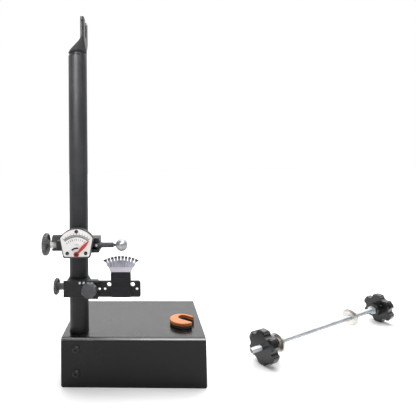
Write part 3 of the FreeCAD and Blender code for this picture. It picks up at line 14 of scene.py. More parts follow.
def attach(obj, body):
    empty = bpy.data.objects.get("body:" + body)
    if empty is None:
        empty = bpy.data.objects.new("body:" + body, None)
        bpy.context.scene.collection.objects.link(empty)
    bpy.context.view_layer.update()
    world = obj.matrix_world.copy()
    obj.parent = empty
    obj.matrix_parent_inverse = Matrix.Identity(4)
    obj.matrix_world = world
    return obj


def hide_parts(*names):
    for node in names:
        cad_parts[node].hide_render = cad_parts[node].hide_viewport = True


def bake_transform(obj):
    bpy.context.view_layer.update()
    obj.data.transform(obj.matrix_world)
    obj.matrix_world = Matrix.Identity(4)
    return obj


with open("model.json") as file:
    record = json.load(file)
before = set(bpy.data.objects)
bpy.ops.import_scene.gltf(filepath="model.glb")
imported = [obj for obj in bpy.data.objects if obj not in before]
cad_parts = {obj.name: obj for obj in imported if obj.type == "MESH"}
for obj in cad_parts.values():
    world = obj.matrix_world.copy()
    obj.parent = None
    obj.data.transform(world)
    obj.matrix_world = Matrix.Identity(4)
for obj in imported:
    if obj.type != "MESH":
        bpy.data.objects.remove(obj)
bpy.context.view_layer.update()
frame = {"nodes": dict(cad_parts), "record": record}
nodes = frame["nodes"]

MM = 0.001
MERGE_WITHIN = 0.001 * MM
SMOOTH_UNDER = math.radians(32)
SPRING_SMOOTH_UNDER = math.radians(40)
DUST_TONE = (0.42, 0.41, 0.4, 1)
# Painted sheen on the base's bends: a paler tint, half metal, in place of their highlight
BEND_SHEEN_TONE = (0.13, 0.13, 0.134)
BEND_SHEEN_METAL = 0.5

# The adapter's rod
ROD_TIP = Vector((0.1703, -0.0223, 0.025))
ROD_HEADING = math.radians(30.5)
ROD_LENGTH = 335 * MM
ROD_RADIUS = 4 * MM
ROD_BEVEL = 1 * MM
THREAD_PITCH = 1.25 * MM
THREAD_DEPTH = 0.77 * MM
THREAD_CREST = (0.44, 0.56)
THREAD_STEPS = 20

# The crease in the tube
COLUMN_RADIUS = 13.45 * MM
CREASE_SPOT = (-0.0773, -0.0437, 0.463)
CREASE_ROUND = 3.4 * MM
CREASE_DEPTH = 0.25 * MM

# The dial's print
DIAL_PIVOT = Vector((-0.0752, -0.0764, 0.1783))
INK_LIFT = 0.05 * MM
LETTER_SPREAD = 0.03
DIVISION = math.radians(1.66)
DIVISIONS_EACH_SIDE = 25
DIVISIONS_PER_NUMBER = 5
NUMBER_HEIGHT, NUMBER_REACH = 3.1 * MM, 19.6 * MM
UNIT_HEIGHT, UNIT_REACH = 3 * MM, 13 * MM
TICK_WIDTH, TICK_CORNER = 0.48 * MM, 0.3
TICK_START, TICK_END, LONG_TICK_END = 23 * MM, 26.7 * MM, 28.8 * MM
BASE_LINE_START, BASE_LINE_REACH, BASE_LINE_END = 22.9 * MM, 23.2 * MM, 23.5 * MM
BASE_LINE_OVERLAP = 1.05

# The needle: half widths and heights of its blade over the pivot, in mm
NEEDLE_SWING = math.radians(43.7)
NEEDLE_HUB = 3.8 * MM
NEEDLE_HUB_ARC = range(30, 331, 12)
NEEDLE_BLADE = (
    (1.5, 3.1), (1.7, 6.5), (2.15, 10.5), (2.3, 14), (2.0, 18), (1.2, 22), (0.45, 24.6),
)
NEEDLE_TIP = 25

# The comb
COMB_REACH = 55.5 * MM
COMB_SLOTS = 9
SLOT_PITCH = math.radians(5.2)
SLOT_WIDTH = 1.6 * MM
SLOT_DEPTH = 6 * MM
SLOT_MARGIN = 0.1 * MM
SLOT_CATCH = 0.6
SLOT_NARROWING = 0.6
COMB_TOP_OVER_STEP = 20.4 * MM
STEP_HEIGHT = 5.2 * MM
STEP_BLUR = 0.3 * MM
# The step's band is painted paler, as a painted highlight
STEP_HIGHLIGHT_TONE = (0.21, 0.2, 0.22)
TIP_FADE_START, TIP_FADE_END = 4.2 * MM, 1.2 * MM
TIP_TONE = (0.035, 0.035, 0.045)

# The camera stands where the photograph was taken from
CAMERA_SPOT = (0.0229, -0.5752, 0.292)
CAMERA_TURN, CAMERA_TILT, CAMERA_ROLL = 2.12, 92.46, -0.77
CAMERA_LENS, CAMERA_SENSOR = 31.66, 36
CAMERA_SHIFT_X, CAMERA_SHIFT_Y = 0.1786, -0.1296


# Patterns that several finishes share
def new_group(name, inputs, outputs):
    tree = bpy.data.node_groups.new(name, "ShaderNodeTree")
    for label, kind, value in inputs:
        socket = tree.interface.new_socket(label, in_out="INPUT", socket_type=kind)
        if value is not None:
            socket.default_value = value
    for label, kind in outputs:
        tree.interface.new_socket(label, in_out="OUTPUT", socket_type=kind)
    return tree, tree.nodes.new("NodeGroupInput"), tree.nodes.new("NodeGroupOutput")


def add(tree, kind, **settings):
    node = tree.nodes.new(kind)
    for key, value in settings.items():
        setattr(node, key, value)
    return node


def value_of(tree, operation, first, second, clamp=False):
    """A Math node: each side is a socket or a number."""
    node = add(tree, "ShaderNodeMath", operation=operation, use_clamp=clamp)
    for slot, value in enumerate((first, second)):
        if isinstance(value, (int, float)):
            node.inputs[slot].default_value = value
        else:
            tree.links.new(value, node.inputs[slot])
    return node.outputs[0]


def stepped(tree, value, low, high):
    """Zero under the low mark, one over the high mark, smooth between."""
    node = add(tree, "ShaderNodeMapRange", interpolation_type="SMOOTHSTEP")
    tree.links.new(value, node.inputs["Value"])
    for name, mark in (("From Min", low), ("From Max", high)):
        if isinstance(mark, (int, float)):
            node.inputs[name].default_value = mark
        else:
            tree.links.new(mark, node.inputs[name])
    return node.outputs["Result"]


def make_worn_edges():
    """Rounds off sharp corners, and finds where handling rubs the finish off them."""
    tree, into, out = new_group(
        "worn_edges",
        [("Place", "NodeSocketVector", None), ("Radius", "NodeSocketFloat", 0.0005),
         ("Amount", "NodeSocketFloat", 0.5)],
        [("Normal", "NodeSocketVector"), ("Worn", "NodeSocketFloat")],
    )
    link = tree.links.new
    rounding = add(tree, "ShaderNodeBevel", samples=6)
    link(into.outputs["Radius"], rounding.inputs["Radius"])
    geometry = add(tree, "ShaderNodeNewGeometry")
    dot = add(tree, "ShaderNodeVectorMath", operation="DOT_PRODUCT")
    link(rounding.outputs["Normal"], dot.inputs[0])
    link(geometry.outputs["Normal"], dot.inputs[1])
    turned = value_of(tree, "SUBTRACT", 1.0, dot.outputs["Value"])
    patches = add(tree, "ShaderNodeTexNoise")
    patches.inputs["Scale"].default_value = 260
    patches.inputs["Detail"].default_value = 4
    link(into.outputs["Place"], patches.inputs["Vector"])
    rubbed = value_of(
        tree, "MULTIPLY", stepped(tree, turned, 0.02, 0.2),
        stepped(tree, patches.outputs[0], 0.42, 0.62),
    )
    link(rounding.outputs["Normal"], out.inputs["Normal"])
    link(value_of(tree, "MULTIPLY", rubbed, into.outputs["Amount"], clamp=True), out.inputs["Worn"])
    return tree


def make_fine_grain():
    """The orange peel of a sprayed coat, or the tooth of moulded plastic."""
    tree, into, out = new_group(
        "fine_grain",
        [("Place", "NodeSocketVector", None), ("Scale", "NodeSocketFloat", 1500.0),
         ("Blotch", "NodeSocketFloat", 40.0)],
        [("Height", "NodeSocketFloat"), ("Tone", "NodeSocketFloat")],
    )
    link = tree.links.new
    grain = add(tree, "ShaderNodeTexNoise")
    grain.inputs["Detail"].default_value = 3
    link(into.outputs["Place"], grain.inputs["Vector"])
    link(into.outputs["Scale"], grain.inputs["Scale"])
    blotch = add(tree, "ShaderNodeTexNoise")
    blotch.inputs["Detail"].default_value = 5
    link(into.outputs["Place"], blotch.inputs["Vector"])
    link(into.outputs["Blotch"], blotch.inputs["Scale"])
    link(grain.outputs[0], out.inputs["Height"])
    fine = value_of(tree, "MULTIPLY", grain.outputs[0], 0.35)
    wide = value_of(tree, "MULTIPLY", blotch.outputs[0], 0.65)
    link(value_of(tree, "ADD", fine, wide), out.inputs["Tone"])
    return tree


def make_brush_lines():
    """Fine parallel lines left by a brush or a drawing die."""
    tree, into, out = new_group(
        "brush_lines",
        [("Place", "NodeSocketVector", None), ("Stretch", "NodeSocketVector", (1.0, 1.0, 1.0))],
        [("Height", "NodeSocketFloat"), ("Tone", "NodeSocketFloat")],
    )
    link = tree.links.new
    drawn = add(tree, "ShaderNodeVectorMath", operation="MULTIPLY")
    link(into.outputs["Place"], drawn.inputs[0])
    link(into.outputs["Stretch"], drawn.inputs[1])
    lines = add(tree, "ShaderNodeTexNoise")
    lines.inputs["Scale"].default_value = 1
    lines.inputs["Detail"].default_value = 4
    link(drawn.outputs[0], lines.inputs["Vector"])
    cloud = add(tree, "ShaderNodeTexNoise")
    cloud.inputs["Scale"].default_value = 55
    link(into.outputs["Place"], cloud.inputs["Vector"])
    link(lines.outputs[0], out.inputs["Height"])
    fine = value_of(tree, "MULTIPLY", lines.outputs[0], 0.6)
    wide = value_of(tree, "MULTIPLY", cloud.outputs[0], 0.4)
    link(value_of(tree, "ADD", fine, wide), out.inputs["Tone"])
    return tree


def make_settled_dust():
    """Dust that lies on faces that look up."""
    tree, into, out = new_group(
        "settled_dust",
        [("Place", "NodeSocketVector", None), ("Amount", "NodeSocketFloat", 0.1)],
        [("Dust", "NodeSocketFloat")],
    )
    link = tree.links.new
    geometry = add(tree, "ShaderNodeNewGeometry")
    parts = add(tree, "ShaderNodeSeparateXYZ")
    link(geometry.outputs["Normal"], parts.inputs[0])
    speckle = add(tree, "ShaderNodeTexNoise")
    speckle.inputs["Scale"].default_value = 190
    speckle.inputs["Detail"].default_value = 6
    link(into.outputs["Place"], speckle.inputs["Vector"])
    lying = value_of(
        tree, "MULTIPLY", stepped(tree, parts.outputs["Z"], 0.4, 0.95),
        stepped(tree, speckle.outputs[0], 0.45, 0.75),
    )
    link(value_of(tree, "MULTIPLY", lying, into.outputs["Amount"], clamp=True), out.inputs["Dust"])
    return tree


def make_two_tones():
    """Two near shades of a finish, the bare metal or pale plastic of its edges, and dust."""
    tree, into, out = new_group(
        "two_tones",
        [("Tone", "NodeSocketFloat", 0.5), ("Dark", "NodeSocketColor", (0, 0, 0, 1)),
         ("Light", "NodeSocketColor", (1, 1, 1, 1)), ("Worn", "NodeSocketFloat", 0.0),
         ("Bare", "NodeSocketColor", (0.4, 0.4, 0.4, 1)), ("Dust", "NodeSocketFloat", 0.0)],
        [("Colour", "NodeSocketColor")],
    )
    link = tree.links.new

    def mixed(share, first, second):
        node = add(tree, "ShaderNodeMix", data_type="RGBA")
        link(share, node.inputs[0])
        link(first, node.inputs[6])
        if isinstance(second, tuple):
            node.inputs[7].default_value = second
        else:
            link(second, node.inputs[7])
        return node.outputs[2]

    share = stepped(tree, into.outputs["Tone"], 0.36, 0.64)
    shade = mixed(share, into.outputs["Dark"], into.outputs["Light"])
    shade = mixed(into.outputs["Worn"], shade, into.outputs["Bare"])
    link(mixed(into.outputs["Dust"], shade, DUST_TONE), out.inputs["Colour"])
    return tree


worn_edges, fine_grain, brush_lines = make_worn_edges(), make_fine_grain(), make_brush_lines()
settled_dust, two_tones = make_settled_dust(), make_two_tones()


def finish(
    name, dark, light, rough, rough_spread, bare=(0.3, 0.3, 0.3), wear=0.0, dust=0.0, metal=0.0,
    corner=0.4, grain=1500, blotch=40, height=0.00002, brushed=None, **sockets,
):
    """A material: constants sit on the shader, and the shared patterns give what varies."""
    material = bpy.data.materials.new(name)
    material.use_nodes = True
    tree = material.node_tree
    link = tree.links.new
    shader = tree.nodes["Principled BSDF"]
    shader.inputs["Metallic"].default_value = metal
    for key, value in sockets.items():
        shader.inputs[key.replace("_", " ").title().replace("Ior", "IOR")].default_value = value
    place = add(tree, "ShaderNodeTexCoord").outputs["Object"]

    def group(kind, **values):
        node = add(tree, "ShaderNodeGroup", node_tree=kind)
        if "Place" in node.inputs:
            link(place, node.inputs["Place"])
        for key, value in values.items():
            node.inputs[key.title()].default_value = value
        return node

    edges = group(worn_edges, radius=corner * MM, amount=wear)
    if brushed:
        pattern = group(brush_lines, stretch=brushed)
    else:
        pattern = group(fine_grain, scale=grain, blotch=blotch)
    lying = group(settled_dust, amount=dust)
    colour = group(two_tones, dark=(*dark, 1), light=(*light, 1), bare=(*bare, 1))
    link(pattern.outputs["Tone"], colour.inputs["Tone"])
    link(edges.outputs["Worn"], colour.inputs["Worn"])
    link(lying.outputs["Dust"], colour.inputs["Dust"])
    link(colour.outputs["Colour"], shader.inputs["Base Color"])
    spread = add(tree, "ShaderNodeMapRange")
    spread.inputs["To Min"].default_value = rough - rough_spread
    spread.inputs["To Max"].default_value = rough + rough_spread
    link(pattern.outputs["Tone"], spread.inputs["Value"])
    link(spread.outputs["Result"], shader.inputs["Roughness"])
    bump = add(tree, "ShaderNodeBump")
    bump.inputs["Strength"].default_value = 1
    bump.inputs["Distance"].default_value = height
    link(pattern.outputs["Height"], bump.inputs["Height"])
    link(edges.outputs["Normal"], bump.inputs["Normal"])
    link(bump.outputs["Normal"], shader.inputs["Normal"])
    return material


def tint(material, share, colour, metal=None):
    """Turns a finish toward another colour, and toward metal, where a mask says so; used for
    painted sheen and highlights, and for darker tips.
    """
    tree = material.node_tree
    shader = tree.nodes["Principled BSDF"]
    plain = shader.inputs["Base Color"].links[0].from_socket
    turned = add(tree, "ShaderNodeMix", data_type="RGBA")
    tree.links.new(share, turned.inputs[0])
    tree.links.new(plain, turned.inputs[6])
    turned.inputs[7].default_value = (*colour, 1)
    tree.links.new(turned.outputs[2], shader.inputs["Base Color"])
    if metal is not None:
        amount = add(tree, "ShaderNodeMapRange")
        amount.inputs["To Min"].default_value = shader.inputs["Metallic"].default_value
        amount.inputs["To Max"].default_value = metal
        tree.links.new(share, amount.inputs["Value"])
        tree.links.new(amount.outputs["Result"], shader.inputs["Metallic"])


finishes = {
    "base_coat": finish(
        "semi_gloss_black_coat", (0.0026, 0.0027, 0.003), (0.005, 0.0052, 0.0056), 0.26, 0.06,
        bare=(0.16, 0.16, 0.165), wear=0.35, dust=0.06, grain=900, blotch=22, height=0.00004,
        corner=0.9, specular_ior_level=0.17, coat_weight=0.12, coat_roughness=0.12,
    ),
    "column_coat": finish(
        "satin_black_coat", (0.015, 0.0155, 0.017), (0.023, 0.0235, 0.025), 0.42, 0.06,
        bare=(0.2, 0.2, 0.21), wear=0.3, dust=0.04, grain=1300, blotch=30, height=0.00003,
        corner=0.5, specular_ior_level=0.18,
    ),
    "carriage_coat": finish(
        "matte_black_oxide", (0.009, 0.009, 0.0102), (0.016, 0.016, 0.018), 0.5, 0.08,
        bare=(0.17, 0.17, 0.18), wear=0.45, dust=0.08, grain=1800, blotch=60, height=0.00003,
        specular_ior_level=0.22,
    ),
    "bar_coat": finish(
        "satin_black_bar", (0.007, 0.007, 0.0085), (0.012, 0.012, 0.0145), 0.4, 0.07,
        bare=(0.22, 0.22, 0.23), wear=0.5, dust=0.05, brushed=(60, 900, 900), height=0.00001,
        specular_ior_level=0.16,
    ),
    "casing_coat": finish(
        "matte_black_casing", (0.012, 0.012, 0.013), (0.02, 0.02, 0.022), 0.45, 0.06,
        bare=(0.14, 0.14, 0.15), wear=0.35, dust=0.05, grain=2000, blotch=70,
    ),
    "blackened_steel": finish(
        "blackened_steel", (0.018, 0.018, 0.02), (0.036, 0.036, 0.039), 0.5, 0.08, metal=0.6,
        bare=(0.2, 0.2, 0.21), wear=0.3, brushed=(80, 1300, 1300), height=0.000008, corner=0.25,
    ),
    "zinc": finish(
        "zinc_plate", (0.4, 0.425, 0.45), (0.56, 0.585, 0.61), 0.42, 0.08, metal=0.7,
        bare=(0.8, 0.82, 0.85), wear=0.4, brushed=(300, 900, 900), height=0.000006, corner=0.2,
    ),
    "bright_steel": finish(
        "turned_bright_steel", (0.45, 0.45, 0.47), (0.66, 0.66, 0.68), 0.24, 0.07, metal=1.0,
        bare=(0.8, 0.8, 0.8), wear=0.2, brushed=(120, 1800, 1800), height=0.000006, corner=0.2,
    ),
    "bronze": finish(
        "sintered_bronze", (0.42, 0.26, 0.11), (0.58, 0.4, 0.2), 0.42, 0.08, metal=1.0,
        grain=2600, blotch=160, corner=0.2,
    ),
    "comb_steel": finish(
        "brushed_plated_steel", (0.16, 0.165, 0.19), (0.34, 0.345, 0.38), 0.44, 0.09, metal=0.9,
        bare=(0.85, 0.85, 0.9), wear=0.45, brushed=(1500, 300, 90), height=0.00001, corner=0.25,
    ),
    "knob_plastic": finish(
        "textured_grey_plastic", (0.032, 0.033, 0.036), (0.062, 0.063, 0.069), 0.42, 0.09,
        bare=(0.13, 0.13, 0.135), wear=0.6, dust=0.1, grain=2400, blotch=110, height=0.00006,
        corner=0.6,
    ),
    "ball_chrome": finish(
        "polished_chrome", (0.24, 0.25, 0.265), (0.33, 0.34, 0.355), 0.3, 0.04, metal=0.6,
        grain=600, blotch=60, height=0.000002, corner=0.1,
    ),
    "face_paint": finish(
        "white_enamel", (0.56, 0.55, 0.535), (0.64, 0.63, 0.61), 0.34, 0.05,
        bare=(0.5, 0.5, 0.5), wear=0.3, grain=1200, blotch=60, height=0.00001, corner=0.15,
        coat_weight=0.1,
    ),
    "needle_paint": finish(
        "red_enamel", (0.36, 0.012, 0.009), (0.46, 0.02, 0.014), 0.3, 0.06,
        bare=(0.75, 0.3, 0.25), wear=0.3, grain=1500, blotch=200, height=0.00001, corner=0.15,
    ),
    "spacer_plastic": finish(
        "orange_plastic", (0.5, 0.13, 0.014), (0.6, 0.18, 0.028), 0.42, 0.07,
        bare=(0.95, 0.5, 0.25), wear=0.4, grain=1800, blotch=90, height=0.00004, corner=0.4,
        subsurface_weight=0.05, subsurface_scale=0.004,
    ),
    "spacer_rubber": finish(
        "black_rubber", (0.012, 0.012, 0.012), (0.026, 0.026, 0.026), 0.78, 0.08,
        dust=0.1, grain=1600, blotch=120, height=0.00007, corner=0.4,
    ),
    "star_plastic": finish(
        "glossy_black_plastic", (0.006, 0.006, 0.0065), (0.012, 0.012, 0.0125), 0.22, 0.06,
        bare=(0.09, 0.09, 0.09), wear=0.35, dust=0.05, grain=700, blotch=50, height=0.00003,
        corner=1.1,
    ),
    "cone_nickel": finish(
        "dull_nickel", (0.52, 0.5, 0.47), (0.7, 0.67, 0.64), 0.36, 0.08, metal=1.0,
        bare=(0.85, 0.82, 0.8), wear=0.4, brushed=(700, 700, 300), height=0.000008, corner=0.3,
    ),
}


def rub_bends(material):
    """Paints the coat paler and half metal where the sheet bends, between its top and its sides: a
    painted sheen in place of the bends' highlight.
    """
    tree = material.node_tree
    ways = add(tree, "ShaderNodeSeparateXYZ")
    tree.links.new(add(tree, "ShaderNodeNewGeometry").outputs["Normal"], ways.inputs[0])
    up = ways.outputs["Z"]
    # Faces part way between up and sideways get the painted sheen
    bend_sheen = value_of(
        tree, "SUBTRACT", stepped(tree, up, 0.2, 0.45), stepped(tree, up, 0.85, 0.97), clamp=True,
    )
    tint(material, bend_sheen, BEND_SHEEN_TONE, metal=BEND_SHEEN_METAL)


rub_bends(finishes["base_coat"])
nut_nickel = finish(
    "bright_nickel_plate", (0.44, 0.43, 0.4), (0.58, 0.57, 0.53), 0.42, 0.06, metal=0.35,
    brushed=(300, 900, 900), height=0.000004, corner=0.2,
)
dial_ink = finish(
    "dark_grey_ink", (0.03, 0.03, 0.033), (0.05, 0.05, 0.055), 0.5, 0.05,
    corner=0.02, height=0.000002,
)
pale_ink = finish(
    "pale_grey_ink", (0.22, 0.22, 0.23), (0.3, 0.3, 0.31), 0.5, 0.05,
    corner=0.02, height=0.000002,
)
# The crease's faces are painted a darker black: painted shade in the groove
crease_painted_shade = finish(
    "crease_painted_shade_coat", (0.004, 0.004, 0.0045), (0.007, 0.007, 0.008), 0.3, 0.05,
    grain=900, blotch=40, corner=0.2, specular_ior_level=0.2,
)

for part in frame["record"]["subparts"]:
    piece = nodes[part["node"]]
    piece.data.materials.clear()
    piece.data.materials.append(finishes[part["material_slot"]])
# The nut is brighter than the other zinc pieces, and the pin is painted over with the needle
nodes["clamp_nut"].data.materials[0] = nut_nickel
nodes["needle_pin"].data.materials[0] = finishes["needle_paint"]


# New pieces
def drop_selection():
    bpy.ops.object.select_all(action="DESELECT")


def settle(piece):
    """Puts the piece's place into its mesh, so its object sits unturned at the origin."""
    drop_selection()
    piece.select_set(True)
    bpy.context.view_layer.objects.active = piece
    bpy.ops.object.transform_apply(location=True, rotation=True, scale=True)


def joined(name, pieces):
    drop_selection()
    for piece in pieces:
        piece.select_set(True)
    bpy.context.view_layer.objects.active = pieces[0]
    bpy.ops.object.join()
    whole = bpy.context.view_layer.objects.active
    whole.name = whole.data.name = name
    return whole


def node_copy(name, node):
    """A copy of a CAD node's mesh with its doubles merged, selected and ready to be cut or bent."""
    drop_selection()
    piece = bpy.data.objects.new(name, nodes[node].data.copy())
    bpy.context.scene.collection.objects.link(piece)
    piece.select_set(True)
    bpy.context.view_layer.objects.active = piece
    bpy.ops.mesh.customdata_custom_splitnormals_clear()
    bpy.ops.object.mode_set(mode="EDIT")
    bpy.ops.mesh.select_all(action="SELECT")
    bpy.ops.mesh.remove_doubles(threshold=MERGE_WITHIN)
    bpy.ops.object.mode_set(mode="OBJECT")
    return piece


def reach_of(piece):
    """The piece's lowest corner, its middle and its highest corner."""
    low = Vector([min(v.co[i] for v in piece.data.vertices) for i in range(3)])
    high = Vector([max(v.co[i] for v in piece.data.vertices) for i in range(3)])
    return low, (low + high) / 2, high


def cut_ring(piece, ring, keep_ring_finish=False):
    """Cuts the ring out of the piece, and smooths what is left up to its sharp edges."""
    bpy.context.view_layer.objects.active = piece
    groove = piece.modifiers.new("groove", "BOOLEAN")
    groove.operation, groove.solver, groove.object = "DIFFERENCE", "EXACT", ring
    if keep_ring_finish:
        groove.material_mode = "TRANSFER"
    bpy.ops.object.modifier_apply(modifier="groove")
    bpy.data.objects.remove(ring)
    drop_selection()
    piece.select_set(True)
    bpy.context.view_layer.objects.active = piece
    bpy.ops.object.shade_smooth_by_angle(angle=SMOOTH_UNDER)


def on_dial(angle, reach):
    """From a flat drawing that faces up to its place on the dial, clockwise from its top."""
    spot = DIAL_PIVOT + Vector((math.sin(angle), 0, math.cos(angle))) * reach
    upright = Matrix.Rotation(math.pi / 2, 4, "X")
    return Matrix.Translation(spot) @ Matrix.Rotation(angle, 4, "Y") @ upright


def printed_words(text, height, angle, reach):
    drop_selection()
    bpy.ops.object.text_add()
    words = bpy.context.object
    words.data.body = text
    words.data.size = height
    words.data.extrude = INK_LIFT
    words.data.offset = height * LETTER_SPREAD
    words.data.align_x = words.data.align_y = "CENTER"
    bpy.ops.object.convert(target="MESH")
    words = bpy.context.object
    words.matrix_world = on_dial(angle, reach)
    settle(words)
    return words


def printed_mark(width, inner, outer, angle):
    """A line of the scale: a thin strip with softened ends."""
    drop_selection()
    bpy.ops.mesh.primitive_plane_add(size=1)
    mark = bpy.context.object
    mark.scale = (width, outer - inner, 1)
    bpy.ops.object.transform_apply(location=False, rotation=False, scale=True)
    bpy.ops.object.mode_set(mode="EDIT")
    bpy.ops.mesh.select_all(action="SELECT")
    bpy.ops.mesh.bevel(offset=width * TICK_CORNER, segments=2, affect="VERTICES")
    bpy.ops.mesh.select_all(action="SELECT")
    bpy.ops.mesh.extrude_region_move(TRANSFORM_OT_translate={"value": (0, 0, INK_LIFT)})
    bpy.ops.mesh.select_all(action="SELECT")
    bpy.ops.mesh.normals_make_consistent(inside=False)
    bpy.ops.object.mode_set(mode="OBJECT")
    mark.matrix_world = on_dial(angle, (inner + outer) / 2)
    settle(mark)
    return mark


def make_dial_print():
    """The numbers, the ticks on their base line and the unit, all raised by the ink's thickness."""
    numbers = []
    highest = DIVISIONS_EACH_SIDE // DIVISIONS_PER_NUMBER
    for count in range(-highest, highest + 1):
        angle = count * DIVISION * DIVISIONS_PER_NUMBER
        numbers.append(printed_words(str(abs(count)), NUMBER_HEIGHT, angle, NUMBER_REACH))
    scale = []
    step = BASE_LINE_REACH * DIVISION * BASE_LINE_OVERLAP
    for count in range(-DIVISIONS_EACH_SIDE, DIVISIONS_EACH_SIDE + 1):
        end = LONG_TICK_END if count % DIVISIONS_PER_NUMBER == 0 else TICK_END
        scale.append(printed_mark(TICK_WIDTH, TICK_START, end, count * DIVISION))
        scale.append(printed_mark(step, BASE_LINE_START, BASE_LINE_END, count * DIVISION))
    dark = joined("dial_scale", numbers + scale)
    unit = joined("dial_unit", [printed_words("mm", UNIT_HEIGHT, 0, UNIT_REACH)])
    for piece, ink in ((dark, dial_ink), (unit, pale_ink)):
        piece.data.materials.clear()
        piece.data.materials.append(ink)
        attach(piece, "lateral_carriage")


def make_pressed_column():
    """The tube with the crease that the press leaves in front, where its flat end starts, its
    groove coated darker as painted shade.
    """
    tube = node_copy("pressed_column", "column_tube")
    drop_selection()
    bpy.ops.mesh.primitive_torus_add(
        major_radius=COLUMN_RADIUS + CREASE_ROUND - CREASE_DEPTH, minor_radius=CREASE_ROUND,
        major_segments=96, minor_segments=32, location=CREASE_SPOT,
    )
    ring = bpy.context.object
    # The groove's faces take the darker coat: painted shade
    ring.data.materials.append(crease_painted_shade)
    cut_ring(tube, ring, keep_ring_finish=True)
    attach(tube, "stand")
    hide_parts("column_tube")


def make_threaded_rod():
    """One turn's profile, wound along the rod, cut off square and bevelled at both ends."""
    turns = round(ROD_LENGTH / THREAD_PITCH) + 2
    root, crest = ROD_RADIUS - THREAD_DEPTH, ROD_RADIUS
    drop_selection()
    bpy.ops.mesh.primitive_plane_add(size=1)
    rod = bpy.context.object
    rod.name = rod.data.name = "adapter_thread"
    bpy.ops.object.mode_set(mode="EDIT")
    bpy.ops.mesh.select_all(action="SELECT")
    bpy.ops.mesh.delete(type="ONLY_FACE")
    bpy.ops.object.mode_set(mode="OBJECT")
    # The plane's corners are joined 0-1-3-2, so its first two are the roots, at the turn's ends
    corners = [(root, 0), (root, 1), (crest, THREAD_CREST[0]), (crest, THREAD_CREST[1])]
    for vertex, (radius, share) in zip(rod.data.vertices, corners):
        vertex.co = (radius, 0, (share - 1) * THREAD_PITCH)
    # The side between the two roots goes, and the other three are wound
    bpy.ops.object.mode_set(mode="EDIT")
    bpy.ops.mesh.select_all(action="DESELECT")
    bpy.ops.object.mode_set(mode="OBJECT")
    for edge in rod.data.edges:
        ends = [rod.data.vertices[i].co.x for i in edge.vertices]
        edge.select = max(ends) < root + MERGE_WITHIN
    bpy.ops.object.mode_set(mode="EDIT")
    bpy.ops.mesh.select_mode(type="EDGE")
    bpy.ops.mesh.delete(type="EDGE")
    bpy.ops.object.mode_set(mode="OBJECT")
    winding = rod.modifiers.new("winding", "SCREW")
    winding.axis = "Z"
    winding.angle = math.tau
    winding.screw_offset = THREAD_PITCH
    winding.iterations = turns
    winding.steps = winding.render_steps = THREAD_STEPS
    winding.use_merge_vertices = True
    bpy.ops.object.modifier_apply(modifier="winding")
    bpy.ops.object.mode_set(mode="EDIT")
    bpy.ops.mesh.select_mode(type="VERT")
    bpy.ops.mesh.select_all(action="SELECT")
    bpy.ops.mesh.remove_doubles(threshold=MERGE_WITHIN)
    for height, side in ((0, -1), (ROD_LENGTH, 1)):
        bpy.ops.mesh.select_all(action="SELECT")
        bpy.ops.mesh.bisect(
            plane_co=(0, 0, height), plane_no=(0, 0, side), clear_outer=True, use_fill=True,
        )
    bpy.ops.mesh.select_all(action="SELECT")
    bpy.ops.mesh.normals_make_consistent(inside=False)
    bpy.ops.object.mode_set(mode="OBJECT")
    for vertex in rod.data.vertices:
        spare = min(vertex.co.z, ROD_LENGTH - vertex.co.z)
        limit = ROD_RADIUS - ROD_BEVEL + spare
        reach = math.hypot(vertex.co.x, vertex.co.y)
        if reach > limit:
            vertex.co.x *= limit / reach
            vertex.co.y *= limit / reach
    rod.matrix_world = (
        Matrix.Translation(ROD_TIP) @ Matrix.Rotation(ROD_HEADING, 4, "Z")
        @ Matrix.Rotation(math.pi / 2, 4, "Y")
    )
    settle(rod)
    rod.data.materials.clear()
    rod.data.materials.append(finishes["zinc"])
    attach(rod, "adapter")
    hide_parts("adapter_rod")


def hollow_knob(node, body, thickness, rim, hub, depth):
    """A moulded knob has a ring hollowed out of its back, between the rim and the hub."""
    knob = node_copy(f"moulded_{node}", node)
    low, centre, _ = reach_of(knob)
    drop_selection()
    bpy.ops.mesh.primitive_torus_add(
        major_radius=(rim + hub) / 2, minor_radius=(rim - hub) / 2,
        major_segments=64, minor_segments=24,
        location=(low.x + thickness, centre.y, centre.z), rotation=(0, math.pi / 2, 0),
    )
    ring = bpy.context.object
    ring.scale = (1, 1, depth * 2 / (rim - hub))
    ring.data.materials.append(finishes["knob_plastic"])
    cut_ring(knob, ring)
    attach(knob, body)
    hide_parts(node)


